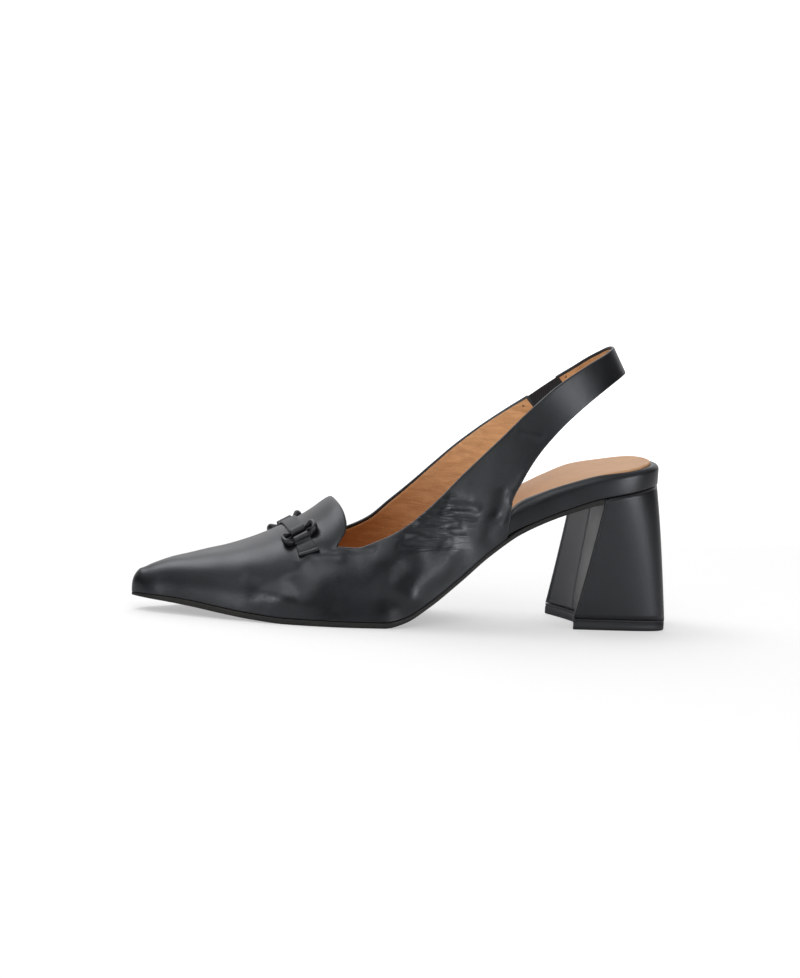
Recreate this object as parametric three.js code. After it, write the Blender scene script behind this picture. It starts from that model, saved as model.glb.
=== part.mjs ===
// Slingback pump for a left foot: pointed toe, loafer tongue with a ringed band, wrapped footbed,
// flared block heel and a back strap closed by an elastic on the inner side.
// X runs from the toe to the heel, +Y is the inner side of the foot, Z is up from the floor.
import * as THREE from 'three';
import { mergeVertices } from 'three/addons/utils/BufferGeometryUtils.js';

// Driving dimensions in millimetres
const shoeLength = 243.4; // toe tip to the back of the top lift
const ballWidth = 74; // across the sole at the joint
const instepHeight = 54.2; // crest of the tongue above the floor
const seatHeight = 57.3; // sole underside above the floor at the heel breast
const collarHeight = 127.2; // upper edge of the back strap above the floor
const toeSpring = 6.2; // sole underside above the floor at the toe tip
const toeRound = 10; // length over which the toe tip is rounded in plan
const noseRound = 3.6; // the same in the side view
const upperWall = 1.8; // leather and lining together
const outsoleThickness = 2.6;
const rimHeight = 9.2; // wrapped footbed between outsole and insole
const insoleThickness = 1.4;
const insoleReveal = 1.3; // footbed showing beside the insole
const insoleBackReveal = 4.2; // and behind it
const outsoleTuck = 0.8; // outsole narrower than the footbed behind the quarters, each side
const heelTuck = 0.7; // heel narrower than the footbed, each side
const heelSetback = 2.3; // heel's front edge behind the start of the seat
const tongueReach = 5.6; // tongue edge behind the notch
const heelCurveDepth = 53; // length of the strap's round end around the heel
const elasticThickness = 1;
const elasticInset = 0.3; // elastic narrower than the strap, each edge
const liftThickness = 4.9;
const heelWidth = 46; // across the top lift at the breast
const heelLength = 46.3; // top lift from breast to back
const breastFold = 6.4; // depth of the V in the breast at the floor
const breastFoldTop = 1.7; // the same under the footbed
const ringLength = 13.6; // middle of the tube to the middle of the tube
const ringWidth = 5.5;
const ringTube = 3.8; // at the ring's ends
const railTube = 1.8; // at its straight rails
const ringAcross = 18.2; // from the crest down to the ring's middle, along the leather
const bandWidth = 7;
const bandThickness = 0.9;
const tabWidth = 9.4;
const tabEnd = 30.4; // from the crest down to the tab's end, along the leather
const tabSkew = 2.5; // the tab's rear corner further down than its front corner
const clearance = 0.3; // between neighbouring pieces
const rimRound = 1.6; // upper edge of the wrapped footbed
const insoleRound = 0.7;
const soleRound = 0.4; // lower edge of the outsole
const sharpEdge = 0.2; // edges that meet a neighbour

// Places along the shoe, as shares of shoeLength
const notchAlong = 0.3475;
const bandAlong = 0.2835;
const seatStart = 0.8406;
const seatEnd = 0.9749;
const quarterEnd = 0.6676;
const insoleStart = 0.042;
const swellStart = 0.6756; // behind the quarters the footbed swells out to the sole's edge
const swellEnd = 0.7456;
const tuckEnd = 0.6976; // the outsole's tuck is full from here
const seatPower = 2.6; // roundness of the footbed's back in plan, 2 is an ellipse
const footbedRamp = { from: 0.4661, rim: 0.508, to: 0.656 }; // the wrapped rim begins part way up

// Sole sections. along is a share of shoeLength. outer and inner are half widths and swing is the
// centre line, as shares of ballWidth. spring is a share of toeSpring, arch of seatHeight and edge
// of outsoleThickness.
const soleSections = [
  { along: 0, outer: 0.074, inner: 0.074, swing: 0.022, spring: 1, arch: 0, edge: 0.45 },
  { along: 0.0119, outer: 0.095, inner: 0.095, swing: 0.022, spring: 0.97, arch: 0, edge: 0.6 },
  { along: 0.0478, outer: 0.142, inner: 0.145, swing: 0.02, spring: 0.86, arch: 0, edge: 0.85 },
  { along: 0.0996, outer: 0.23, inner: 0.236, swing: 0.017, spring: 0.66, arch: 0, edge: 1 },
  { along: 0.1483, outer: 0.308, inner: 0.308, swing: 0.013, spring: 0.4, arch: 0, edge: 1 },
  { along: 0.2017, outer: 0.38, inner: 0.372, swing: 0.009, spring: 0.15, arch: 0, edge: 1 },
  { along: 0.2632, outer: 0.444, inner: 0.43, swing: 0.004, spring: 0, arch: 0, edge: 1 },
  { along: 0.3251, outer: 0.486, inner: 0.478, swing: 0.002, spring: 0, arch: 0, edge: 1 },
  { along: 0.3781, outer: 0.5, inner: 0.5, swing: 0, spring: 0, arch: 0, edge: 1 },
  { along: 0.4401, outer: 0.494, inner: 0.488, swing: 0, spring: 0, arch: 0, edge: 1 },
  { along: 0.4771, outer: 0.47, inner: 0.458, swing: 0, spring: 0, arch: 0.0366, edge: 0.95 },
  { along: 0.526, outer: 0.43, inner: 0.404, swing: 0, spring: 0, arch: 0.162, edge: 0.9 },
  { along: 0.5841, outer: 0.385, inner: 0.324, swing: 0, spring: 0, arch: 0.358, edge: 0.9 },
  { along: 0.637, outer: 0.36, inner: 0.243, swing: 0, spring: 0, arch: 0.558, edge: 0.9 },
  { along: 0.6865, outer: 0.353, inner: 0.212, swing: 0, spring: 0, arch: 0.717, edge: 0.9 },
  { along: 0.736, outer: 0.358, inner: 0.232, swing: 0, spring: 0, arch: 0.831, edge: 0.9 },
  { along: 0.777, outer: 0.365, inner: 0.284, swing: 0, spring: 0, arch: 0.906, edge: 0.9 },
  { along: 0.8427, outer: 0.372, inner: 0.351, swing: 0, spring: 0, arch: 1, edge: 1 },
  { along: 0.8999, outer: 0.372, inner: 0.351, swing: 0, spring: 0, arch: 1.05, edge: 1 },
  { along: 0.9564, outer: 0.372, inner: 0.351, swing: 0, spring: 0, arch: 1.102, edge: 1 },
  { along: 1, outer: 0.372, inner: 0.351, swing: 0, spring: 0, arch: 1.128, edge: 1 },
];

// Crest of the vamp and tongue: height is a share of instepHeight.
const crestLine = [
  { along: 0, height: 0.315 },
  { along: 0.0199, height: 0.349 },
  { along: 0.0414, height: 0.389 },
  { along: 0.0725, height: 0.441 },
  { along: 0.104, height: 0.477 },
  { along: 0.136, height: 0.517 },
  { along: 0.1684, height: 0.553 },
  { along: 0.2009, height: 0.6 },
  { along: 0.2334, height: 0.657 },
  { along: 0.2675, height: 0.728 },
  { along: 0.3077, height: 0.828 },
  { along: 0.3271, height: 0.888 },
  { along: 0.3545, height: 0.982 },
  { along: 0.3811, height: 1.035 },
];

// Half width of the shoe at the collar, as a share of ballWidth
const collarSections = [
  { along: 0.3475, outer: 0.369, inner: 0.369 },
  { along: 0.3822, outer: 0.395, inner: 0.39 },
  { along: 0.4191, outer: 0.416, inner: 0.408 },
  { along: 0.4811, outer: 0.419, inner: 0.419 },
  { along: 0.5221, outer: 0.407, inner: 0.41 },
  { along: 0.5881, outer: 0.379, inner: 0.386 },
  { along: 0.649, outer: 0.363, inner: 0.367 },
  { along: 0.696, outer: 0.358, inner: 0.358 },
  { along: 1, outer: 0.358, inner: 0.358 },
];

// Ribs of the quarters and the strap, from the notch to the back of the heel. top is the collar
// edge and foot is the lower edge, which lies on the sole where footHeight is missing.
// Lengths are shares of shoeLength, heights are shares of collarHeight.
const outerRibs = [
  { top: 0.3475, topHeight: 0.271, foot: 0.3475 },
  { top: 0.3822, topHeight: 0.2685, foot: 0.3952 },
  { top: 0.4191, topHeight: 0.293, foot: 0.4441 },
  { top: 0.4581, topHeight: 0.331, foot: 0.4911 },
  { top: 0.4971, topHeight: 0.386, foot: 0.5341 },
  { top: 0.5365, topHeight: 0.457, foot: 0.5756 },
  { top: 0.5756, topHeight: 0.535, foot: 0.6125 },
  { top: 0.6146, topHeight: 0.6094, foot: 0.643 },
  { top: 0.6496, topHeight: 0.677, foot: 0.6676 },
  { top: 0.68, topHeight: 0.7386, foot: 0.671, footHeight: 0.441 },
  { top: 0.709, topHeight: 0.795, foot: 0.6886, footHeight: 0.526 },
  { top: 0.736, topHeight: 0.8425, foot: 0.7153, footHeight: 0.619 },
  { top: 0.7646, topHeight: 0.8835, foot: 0.754, footHeight: 0.713 },
  { top: 0.7925, topHeight: 0.9173, foot: 0.7995, footHeight: 0.795 },
  { top: 0.818, topHeight: 0.9457, foot: 0.8406, footHeight: 0.8535 },
  { top: 0.8448, topHeight: 0.971, foot: 0.8713, footHeight: 0.89 },
  { top: 0.8673, topHeight: 0.992, foot: 0.8929, footHeight: 0.91 },
  { top: 0.8775, topHeight: 1, foot: 0.9026, footHeight: 0.9157 },
];
const innerRibs = [
  { top: 0.3475, topHeight: 0.271, foot: 0.3475 },
  { top: 0.3822, topHeight: 0.2685, foot: 0.3952 },
  { top: 0.4191, topHeight: 0.291, foot: 0.4441 },
  { top: 0.4581, topHeight: 0.327, foot: 0.4911 },
  { top: 0.4971, topHeight: 0.3905, foot: 0.5341 },
  { top: 0.5365, topHeight: 0.458, foot: 0.5756 },
  { top: 0.5756, topHeight: 0.53, foot: 0.6125 },
  { top: 0.6146, topHeight: 0.6, foot: 0.643 },
  { top: 0.6496, topHeight: 0.656, foot: 0.6676 },
  { top: 0.6824, topHeight: 0.7045, foot: 0.6865, footHeight: 0.48 },
  { top: 0.7153, topHeight: 0.749, foot: 0.7297, footHeight: 0.618 },
  { top: 0.7482, topHeight: 0.793, foot: 0.785, footHeight: 0.71 },
  { top: 0.773, topHeight: 0.831, foot: 0.811, footHeight: 0.748 },
  { top: 0.799, topHeight: 0.871, foot: 0.8364, footHeight: 0.789 },
  { top: 0.8264, topHeight: 0.912, foot: 0.8615, footHeight: 0.832 },
  { top: 0.8489, topHeight: 0.9495, foot: 0.8819, footHeight: 0.869 },
  { top: 0.8681, topHeight: 0.981, foot: 0.896, footHeight: 0.8984 },
  { top: 0.8775, topHeight: 1, foot: 0.9026, footHeight: 0.9157 },
];
const cornerRib = 8; // last rib that stands on the sole
const quarterRib = 11; // inner quarter ends here
const strapRib = 13; // inner end of the strap

// Edge of the tongue between notch and crest: reach is a share of tongueReach.
const tongueEdge = [
  { along: 0, reach: 0 },
  { along: 0.07, reach: 0.25 },
  { along: 0.16, reach: 0.72 },
  { along: 0.27, reach: 0.86 },
  { along: 0.42, reach: 0.8 },
  { along: 0.62, reach: 0.62 },
  { along: 0.82, reach: 0.45 },
  { along: 1, reach: 0.4 },
];

// Facets
const vampColumns = 22;
const sideRows = 10;
const tongueRows = 14;
const tongueColumns = 4;
const stepsPerRib = 2;
const heelTurns = 11;
const heelLevels = 9;

const mix = (a, b, share) => a + (b - a) * share;
const clamp = (value) => Math.min(1, Math.max(0, value));
const ease = (share) => clamp(share) ** 2 * (3 - 2 * clamp(share));

// Slope of a smooth curve at row i that never swings past its neighbours
function rowSlope(rows, key, i) {
  if (i === 0 || i === rows.length - 1) {
    const j = i === 0 ? 1 : i;
    return (rows[j][key] - rows[j - 1][key]) / (rows[j].along - rows[j - 1].along);
  }
  const before = (rows[i][key] - rows[i - 1][key]) / (rows[i].along - rows[i - 1].along);
  const after = (rows[i + 1][key] - rows[i][key]) / (rows[i + 1].along - rows[i].along);
  return before * after <= 0 ? 0 : (2 * before * after) / (before + after);
}

// Smooth value of one column at a place along the table
function read(rows, key, along) {
  const last = rows.length - 1;
  let i = 0;
  while (i < last - 1 && rows[i + 1].along < along) i += 1;
  const span = rows[i + 1].along - rows[i].along;
  const t = Math.min(1, Math.max(0, (along - rows[i].along) / span));
  const startSlope = rowSlope(rows, key, i) * span;
  const endSlope = rowSlope(rows, key, i + 1) * span;
  const start = (2 * t ** 3 - 3 * t ** 2 + 1) * rows[i][key] + (t ** 3 - 2 * t ** 2 + t) * startSlope;
  const end = (3 * t ** 2 - 2 * t ** 3) * rows[i + 1][key] + (t ** 3 - t ** 2) * endSlope;
  return start + end;
}

// Underside of the sole, its upper face, and the edge of the upper that stands on it
function soleUnder(x) {
  const along = x / shoeLength;
  return toeSpring * read(soleSections, 'spring', along) + seatHeight * read(soleSections, 'arch', along);
}
function soleTop(x) {
  return soleUnder(x) + outsoleThickness * read(soleSections, 'edge', x / shoeLength);
}
function upperFoot(x) {
  return soleTop(x) + clearance;
}

const centreLine = (x) => ballWidth * read(soleSections, 'swing', x / shoeLength);

// Half width of the sole on one side, moved in by inset: a table times a round toe and a round seat
function halfWidth(x, side, inset = 0, backInset = inset) {
  const table = (place) => ballWidth * read(soleSections, side, place / shoeLength);
  const slope = table(x + 1) - table(x);
  const toe = Math.sqrt(1 - (1 - clamp((x - inset) / toeRound)) ** 2);
  const seatLength = (seatEnd - seatStart) * shoeLength - backInset;
  const seatShare = clamp((x - seatStart * shoeLength) / seatLength);
  const seat = (1 - seatShare ** seatPower) ** (1 / seatPower);
  const width = (table(x) - inset * Math.hypot(1, slope)) * toe * seat;
  return width > 1e-3 ? width : 0;
}

// Vamp and tongue: each section is a half ellipse from the outer to the inner side of the sole
const crestHeight = (x) => instepHeight * read(crestLine, 'height', x / shoeLength);
function vampPoint(x, angle) {
  const side = angle < Math.PI / 2 ? 'outer' : 'inner';
  const nose = Math.sqrt(1 - (1 - clamp(x / noseRound)) ** 2);
  const rise = (crestHeight(x) - upperFoot(x)) * nose;
  return new THREE.Vector3(
    x,
    centreLine(x) - halfWidth(x, side) * Math.cos(angle),
    upperFoot(x) + rise * Math.sin(angle),
  );
}

// The notch on each side, where tongue and collar meet
const notchX = notchAlong * shoeLength;
const notchRise = outerRibs[0].topHeight * collarHeight - upperFoot(notchX);
const notchAngle = Math.asin(clamp(notchRise / (crestHeight(notchX) - upperFoot(notchX))));

// Quarter and strap: a rib leans from the sole's half width to the collar's, and the strap's round
// end closes behind the heel along a direction that leans like the strap's own edges.
const backRib = outerRibs[outerRibs.length - 1];
const backLean = Math.atan2(
  (backRib.foot - backRib.top) * shoeLength,
  (backRib.topHeight - backRib.footHeight) * collarHeight,
);
const aroundHeel = (x, z) => x * Math.cos(backLean) + z * Math.sin(backLean);
const heelCurveEnd = aroundHeel(backRib.top * shoeLength, backRib.topHeight * collarHeight);

function sideHalf(x, z, side) {
  const ribs = side === 'outer' ? outerRibs : innerRibs;
  const rows = ribs.map((rib) => ({ along: rib.top, height: rib.topHeight }));
  const collar = collarHeight * read(rows, 'height', x / shoeLength);
  const share = clamp((z - upperFoot(x)) / (collar - upperFoot(x)));
  const low = halfWidth(Math.min(x, seatStart * shoeLength), side);
  const high = ballWidth * read(collarSections, side, x / shoeLength);
  const turn = clamp((aroundHeel(x, z) - heelCurveEnd + heelCurveDepth) / heelCurveDepth);
  return Math.sqrt(low ** 2 + (high ** 2 - low ** 2) * share ** 2) * Math.sqrt(1 - turn ** 2);
}

const ribHeight = (share) => Math.sin(notchAngle * share) / Math.sin(notchAngle);

function ribPoint(side, rib, share) {
  const ribs = side === 'outer' ? outerRibs : innerRibs;
  const rows = ribs.map((row, along) => ({ ...row, along }));
  const footX = shoeLength * read(rows, 'foot', rib);
  const free = rows.slice(cornerRib).map((row, i) => ({
    along: cornerRib + i,
    height: i === 0 ? upperFoot(row.foot * shoeLength) : row.footHeight * collarHeight,
  }));
  const footZ = rib <= cornerRib ? upperFoot(footX) : read(free, 'height', rib);
  const x = mix(footX, shoeLength * read(rows, 'top', rib), ribHeight(share));
  const z = mix(footZ, collarHeight * read(rows, 'topHeight', rib), ribHeight(share));
  const hand = side === 'outer' ? -1 : 1;
  return new THREE.Vector3(x, centreLine(x) + hand * sideHalf(x, z, side), z);
}

// Points of a surface on a grid
function grid(columns, rows, pointAt) {
  return Array.from({ length: columns + 1 }, (_, i) => Array.from({ length: rows + 1 }, (_, j) => pointAt(i, j)));
}

// A closed wall from outer grids: the grids share their common points, the inner face lies one wall
// further in along the averaged normals, and every free edge is closed.
function wallSolid(grids, wall) {
  const points = [];
  const known = new Map();
  const faces = [];
  const numberOf = (p) => {
    const key = [p.x, p.y, p.z].map((value) => Math.round(value * 1000)).join();
    if (!known.has(key)) {
      known.set(key, points.length);
      points.push(p);
    }
    return known.get(key);
  };
  const addFace = (a, b, c) => {
    if (a !== b && b !== c && c !== a) faces.push([a, b, c]);
  };
  for (const net of grids) {
    const numbers = net.map((column) => column.map(numberOf));
    for (let i = 0; i + 1 < numbers.length; i += 1) {
      for (let j = 0; j + 1 < numbers[i].length; j += 1) {
        addFace(numbers[i][j], numbers[i + 1][j], numbers[i + 1][j + 1]);
        addFace(numbers[i][j], numbers[i + 1][j + 1], numbers[i][j + 1]);
      }
    }
  }
  const normals = points.map(() => new THREE.Vector3());
  const edges = new Map();
  for (const face of faces) {
    const [a, b, c] = face.map((number) => points[number]);
    const normal = b.clone().sub(a).cross(c.clone().sub(a));
    face.forEach((number, k) => {
      normals[number].add(normal);
      edges.set(`${number},${face[(k + 1) % 3]}`, [number, face[(k + 1) % 3]]);
    });
  }
  const inner = points.map((point, i) => {
    const normal = normals[i];
    const onSole = Math.abs(point.z - upperFoot(point.x)) < 1e-6;
    if (onSole) normal.z = 0;
    const moved = point.clone().addScaledVector(normal.normalize(), -wall);
    if (onSole) moved.z = upperFoot(moved.x);
    return moved;
  });
  const triangles = [];
  for (const [a, b, c] of faces) {
    triangles.push(points[a], points[b], points[c]);
    triangles.push(inner[a], inner[c], inner[b]);
  }
  for (const [a, b] of edges.values()) {
    if (!edges.has(`${b},${a}`)) {
      triangles.push(points[b], points[a], inner[a]);
      triangles.push(points[b], inner[a], inner[b]);
    }
  }
  return fromTriangles(triangles);
}

// A mesh from loose triangles: near points become one and triangles that have shrunk are left out
function fromTriangles(triangles) {
  const geometry = mergeVertices(new THREE.BufferGeometry().setFromPoints(triangles), 1e-3);
  const numbers = [...geometry.index.array];
  const kept = [];
  for (let i = 0; i < numbers.length; i += 3) {
    const [a, b, c] = numbers.slice(i, i + 3);
    if (a !== b && b !== c && c !== a) kept.push(a, b, c);
  }
  geometry.setIndex(kept);
  return geometry;
}

// A closed solid through loops with as many points each. An end is closed by rungs between each
// point and its opposite on the loop.
function loft(loops) {
  const count = loops[0].length;
  const triangles = [];
  for (let i = 0; i + 1 < loops.length; i += 1) {
    for (let k = 0; k < count; k += 1) {
      const next = (k + 1) % count;
      triangles.push(loops[i][k], loops[i + 1][next], loops[i + 1][k]);
      triangles.push(loops[i][k], loops[i][next], loops[i + 1][next]);
    }
  }
  const first = loops[0];
  const last = loops[loops.length - 1];
  for (let k = 0; k < count / 2 - 1; k += 1) {
    const far = count - 1 - k;
    triangles.push(first[k], first[far - 1], first[k + 1]);
    triangles.push(first[k], first[far], first[far - 1]);
    triangles.push(last[k], last[k + 1], last[far - 1]);
    triangles.push(last[k], last[far - 1], last[far]);
  }
  return fromTriangles(triangles);
}

// A slab through cross sections. half, low and high give each section its widths and heights,
// and bevels take its long edges off.
const acrossShares = [-1, -0.5, 0, 0.5, 1];
const mostBevel = 0.4; // share of a slab's height that one bevel may take
function slab({ stations, half, low, high, lowBevel, highBevel }) {
  return loft(stations.map((x) => {
    const outer = half(x, 'outer');
    const inner = half(x, 'inner');
    const middle = centreLine(x);
    const height = high(x) - low(x);
    const most = Math.min(height * mostBevel, outer, inner);
    const under = Math.min(lowBevel, most);
    const over = Math.min(highBevel, most);
    const place = (share, bevel) => middle + share * ((share < 0 ? outer : inner) - bevel);
    const point = (share, bevel, z) => new THREE.Vector3(x, place(share, bevel), z);
    const bottom = acrossShares.map((share) => point(share, under, low(x)));
    const top = acrossShares.map((share) => point(share, over, high(x))).reverse();
    return [
      point(-1, 0, low(x) + under),
      ...bottom,
      point(1, 0, low(x) + under),
      point(1, 0, high(x) - over),
      ...top,
      point(-1, 0, high(x) - over),
    ];
  }));
}

// Places from one end to the other, close together at the ends
function spread(from, to, count) {
  return Array.from({ length: count + 1 }, (_, i) => mix(from, to, (1 - Math.cos((Math.PI * i) / count)) / 2));
}

function makeUpper() {
  const columnX = (i) => notchX * (1 - Math.cos(((Math.PI / 2) * i) / vampColumns));
  const rowAngle = (j) => {
    if (j <= sideRows) return (notchAngle * j) / sideRows;
    if (j >= sideRows + tongueRows) {
      return Math.PI - (notchAngle * (2 * sideRows + tongueRows - j)) / sideRows;
    }
    return mix(notchAngle, Math.PI - notchAngle, (j - sideRows) / tongueRows);
  };
  const vamp = grid(vampColumns, 2 * sideRows + tongueRows, (i, j) => vampPoint(columnX(i), rowAngle(j)));
  const tongue = grid(tongueColumns, tongueRows, (i, j) => {
    const fromNotch = 1 - Math.abs(1 - (2 * j) / tongueRows);
    const reach = tongueReach * read(tongueEdge, 'reach', fromNotch);
    return vampPoint(notchX + (reach * i) / tongueColumns, rowAngle(sideRows + j));
  });
  const side = (name, from, to) => grid((to - from) * stepsPerRib, sideRows, (i, j) => {
    const rib = from + i / stepsPerRib;
    const angle = rowAngle(j);
    if (rib === 0) return vampPoint(notchX, name === 'outer' ? angle : Math.PI - angle);
    return ribPoint(name, rib, j / sideRows);
  });
  const turned = (net) => net.map((column) => [...column].reverse());
  const back = outerRibs.length - 1;
  return wallSolid([
    vamp,
    tongue,
    side('outer', 0, back),
    turned(side('inner', 0, quarterRib)),
    turned(side('inner', strapRib, back)),
  ], upperWall);
}

// The elastic lies inside the thickness of the wall, between the ends of quarter and strap
function makeElastic() {
  const columns = 8;
  const sunk = (upperWall - elasticThickness) / 2;
  const ribAt = (i) => mix(quarterRib, strapRib, i / columns);
  const net = grid(columns, 3, (i, j) => {
    const low = ribPoint('inner', ribAt(i), 0);
    const high = ribPoint('inner', ribAt(i), 1);
    const width = low.distanceTo(high);
    const share = mix(elasticInset / width, 1 - elasticInset / width, j / 3);
    const point = low.lerp(high, share);
    const first = ribPoint('inner', quarterRib, 0.5);
    const last = ribPoint('inner', strapRib, 0.5);
    const run = last.sub(first).normalize();
    const inward = new THREE.Vector3(-run.y, run.x, 0).normalize();
    const shorten = mix(clearance, -clearance, i / columns);
    return point.addScaledVector(run, shorten).addScaledVector(inward, -sunk);
  });
  return wallSolid([net.map((column) => [...column].reverse())], elasticThickness);
}

// Height of the footbed's ramp: nothing under the ball, all of it from the waist back
function footbedShare(x) {
  return ease((x / shoeLength - footbedRamp.from) / (footbedRamp.to - footbedRamp.from));
}
const insoleUnder = (x) => soleTop(x) + clearance + (rimHeight + clearance) * footbedShare(x);
const rimTop = (x) => insoleUnder(x) - clearance;

// Inside the quarters the footbed keeps clear of their wall, and behind them it swells out
const behindQuarters = (x) => ease((x / shoeLength - swellStart) / (swellEnd - swellStart));

function makeRim() {
  return slab({
    stations: spread(footbedRamp.rim * shoeLength, seatEnd * shoeLength, 34),
    half: (x, side) => halfWidth(x, side, mix(upperWall + 1.5 * clearance, 0, behindQuarters(x))),
    low: upperFoot,
    high: rimTop,
    lowBevel: soleRound,
    highBevel: rimRound,
  });
}

function makeInsole() {
  return slab({
    stations: spread(insoleStart * shoeLength, seatEnd * shoeLength - insoleBackReveal, 40),
    half: (x, side) => {
      const inset = mix(upperWall + 2 * clearance, insoleReveal, behindQuarters(x));
      return halfWidth(x, side, inset, insoleBackReveal);
    },
    low: insoleUnder,
    high: (x) => insoleUnder(x) + insoleThickness,
    lowBevel: sharpEdge,
    highBevel: insoleRound,
  });
}

function makeOutsole() {
  return slab({
    stations: spread(0, seatStart * shoeLength + heelSetback - clearance, 40),
    half: (x, side) => {
      const behind = ease((x / shoeLength - quarterEnd) / (tuckEnd - quarterEnd));
      return Math.max(0, halfWidth(x, side) - outsoleTuck * behind);
    },
    low: soleUnder,
    high: soleTop,
    lowBevel: soleRound,
    highBevel: sharpEdge,
  });
}

// Heel plan at a height share: V-folded breast, straight flanks and a rounded back
const heelSquareness = { floor: 6, seat: seatPower };
const breastSweep = 1.1; // power with which the breast comes forward towards the floor
const backSweep = 1; // and with which the back goes backward
const foldRound = 1.3; // 1 is a sharp fold
function heelLoop(share, heightAt) {
  const down = (1 - share) ** backSweep;
  const seatFront = seatStart * shoeLength + heelSetback;
  const front = mix(seatFront, shoeLength - heelLength, (1 - share) ** breastSweep);
  const back = mix(seatEnd * shoeLength - clearance, shoeLength, down);
  const power = 2 / mix(heelSquareness.seat, heelSquareness.floor, down);
  const fold = mix(breastFold, breastFoldTop, Math.sqrt(share));
  const seatHalf = (side) => halfWidth(seatStart * shoeLength, side) - heelTuck;
  const halfAt = (side) => mix(heelWidth / 2, seatHalf(side), share);
  const flank = (side, hand) => Array.from({ length: heelTurns + 1 }, (_, i) => {
    const angle = ((Math.PI / 2) * i) / heelTurns;
    const x = mix(front, back, Math.sin(angle) ** power);
    return new THREE.Vector2(x, hand * halfAt(side) * Math.cos(angle) ** power);
  });
  const outer = flank('outer', -1);
  const inner = flank('inner', 1).reverse().slice(1);
  const breast = [0.75, 0.5, 0.25].map((place) => {
    const depth = fold * (1 - Math.abs(2 * place - 1) ** foldRound);
    return new THREE.Vector2(front + depth, mix(-halfAt('outer'), halfAt('inner'), place));
  });
  return [...outer, ...inner, ...breast].map((p) => new THREE.Vector3(p.x, p.y, heightAt(p.x)));
}

// Across the heel, loops are closed by rungs from flank to flank, so they start at the breast's fold
function closedAcross(loop) {
  const start = loop.length - 2;
  return [...loop.slice(start), ...loop.slice(0, start)];
}

function makeHeel() {
  const base = liftThickness + clearance;
  const top = (x) => upperFoot(x) - clearance * 1.5;
  return loft(Array.from({ length: heelLevels + 1 }, (_, i) => {
    const share = i / heelLevels;
    return closedAcross(heelLoop(share, (x) => mix(base, top(x), share)));
  }));
}

function makeLift() {
  return loft([0, liftThickness].map((z) => closedAcross(heelLoop(0, () => z))));
}

// Places on the vamp for the band and rings: mm along the crest, mm across from the crest
// (outer side positive) and mm above the leather, square to the crest's slope.
const bandX = bandAlong * shoeLength;
const bandSwing = 0.6; // share of the slope that the band follows down the flanks
const crestSlope = (crestHeight(bandX + 1) - crestHeight(bandX - 1)) / 2;
function angleAcross(x, across) {
  const steps = 20;
  const side = across > 0 ? 'outer' : 'inner';
  const width = halfWidth(x, side);
  const rise = crestHeight(x) - upperFoot(x);
  let angle = Math.PI / 2;
  for (let i = 0; i < steps; i += 1) {
    const pace = Math.hypot(width * Math.sin(angle), rise * Math.cos(angle));
    angle -= across / steps / pace;
  }
  return angle;
}
function onVamp(along, across, above) {
  const base = bandX + along / Math.hypot(1, crestSlope);
  const drop = crestHeight(base) - vampPoint(base, angleAcross(base, across)).z;
  const x = base + drop * crestSlope * bandSwing;
  const angle = angleAcross(x, across);
  const step = 0.05;
  const alongStep = vampPoint(x + step, angle).sub(vampPoint(x - step, angle));
  const turnStep = vampPoint(x, angle + step / 10).sub(vampPoint(x, angle - step / 10));
  const normal = alongStep.cross(turnStep).normalize();
  return vampPoint(x, angle).addScaledVector(normal, above);
}

// Section shared by rings, band and tabs
const railHeight = railTube / 2 + clearance;
const wrapRadius = (railTube + bandThickness) / 2 + 1.2 * clearance;
const halfTurn = 180;
const wrapUnder = 22; // degrees that a wrapped strip goes on below the rail's middle
const wrapLeave = 30; // degrees above the rail's middle where it leaves for the leather
const bandPlaces = [0, 0.35, 0.62]; // flat part of the band, as shares of the way to the rail
const tabPlaces = [0.4, 0.7, 1]; // and of the tab, from the rail to its end
const ringSquareness = 3.4; // an oval with nearly straight rails
const flatHeight = clearance + bandThickness / 2;

// Middle line of the ring's tube, flat on the leather
function ringLine(turn) {
  const rounded = (value) => Math.sign(value) * Math.abs(value) ** (2 / ringSquareness);
  return new THREE.Vector2((ringLength / 2) * rounded(Math.cos(turn)), (ringWidth / 2) * rounded(Math.sin(turn)));
}

function makeRing(hand) {
  const around = 28;
  const sides = 8;
  const step = Math.PI / around / 2;
  const loops = Array.from({ length: around }, (_, i) => {
    const turn = (2 * Math.PI * (i + 0.5)) / around;
    const middle = ringLine(turn);
    const run = ringLine(turn + step).sub(ringLine(turn - step)).normalize();
    const nearEnd = ease((Math.abs(middle.x) - bandWidth / 2) / (ringLength / 2 - bandWidth / 2));
    const radius = mix(railTube, ringTube, nearEnd) / 2;
    return Array.from({ length: sides }, (_, k) => {
      const angle = (2 * Math.PI * k) / sides;
      const out = radius * Math.cos(angle);
      const along = middle.x + out * run.y;
      const across = ringAcross + middle.y - out * run.x;
      return onVamp(along, hand * across, clearance + radius * (1 + Math.sin(angle)));
    });
  });
  const triangles = [];
  for (let i = 0; i < around; i += 1) {
    const loop = loops[i];
    const after = loops[(i + 1) % around];
    for (let k = 0; k < sides; k += 1) {
      const next = (k + 1) % sides;
      const quad = [loop[k], after[k], after[next], loop[next]];
      if (hand > 0) quad.reverse();
      triangles.push(quad[0], quad[1], quad[2], quad[0], quad[2], quad[3]);
    }
  }
  return fromTriangles(triangles);
}

// Points of a strip's middle line that wraps a rail, from one angle to another
function wrapAround(rail, from, to) {
  const steps = 6;
  return Array.from({ length: steps + 1 }, (_, i) => {
    const angle = THREE.MathUtils.degToRad(mix(from, to, i / steps));
    return new THREE.Vector2(rail + wrapRadius * Math.cos(angle), railHeight + wrapRadius * Math.sin(angle));
  });
}

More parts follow.
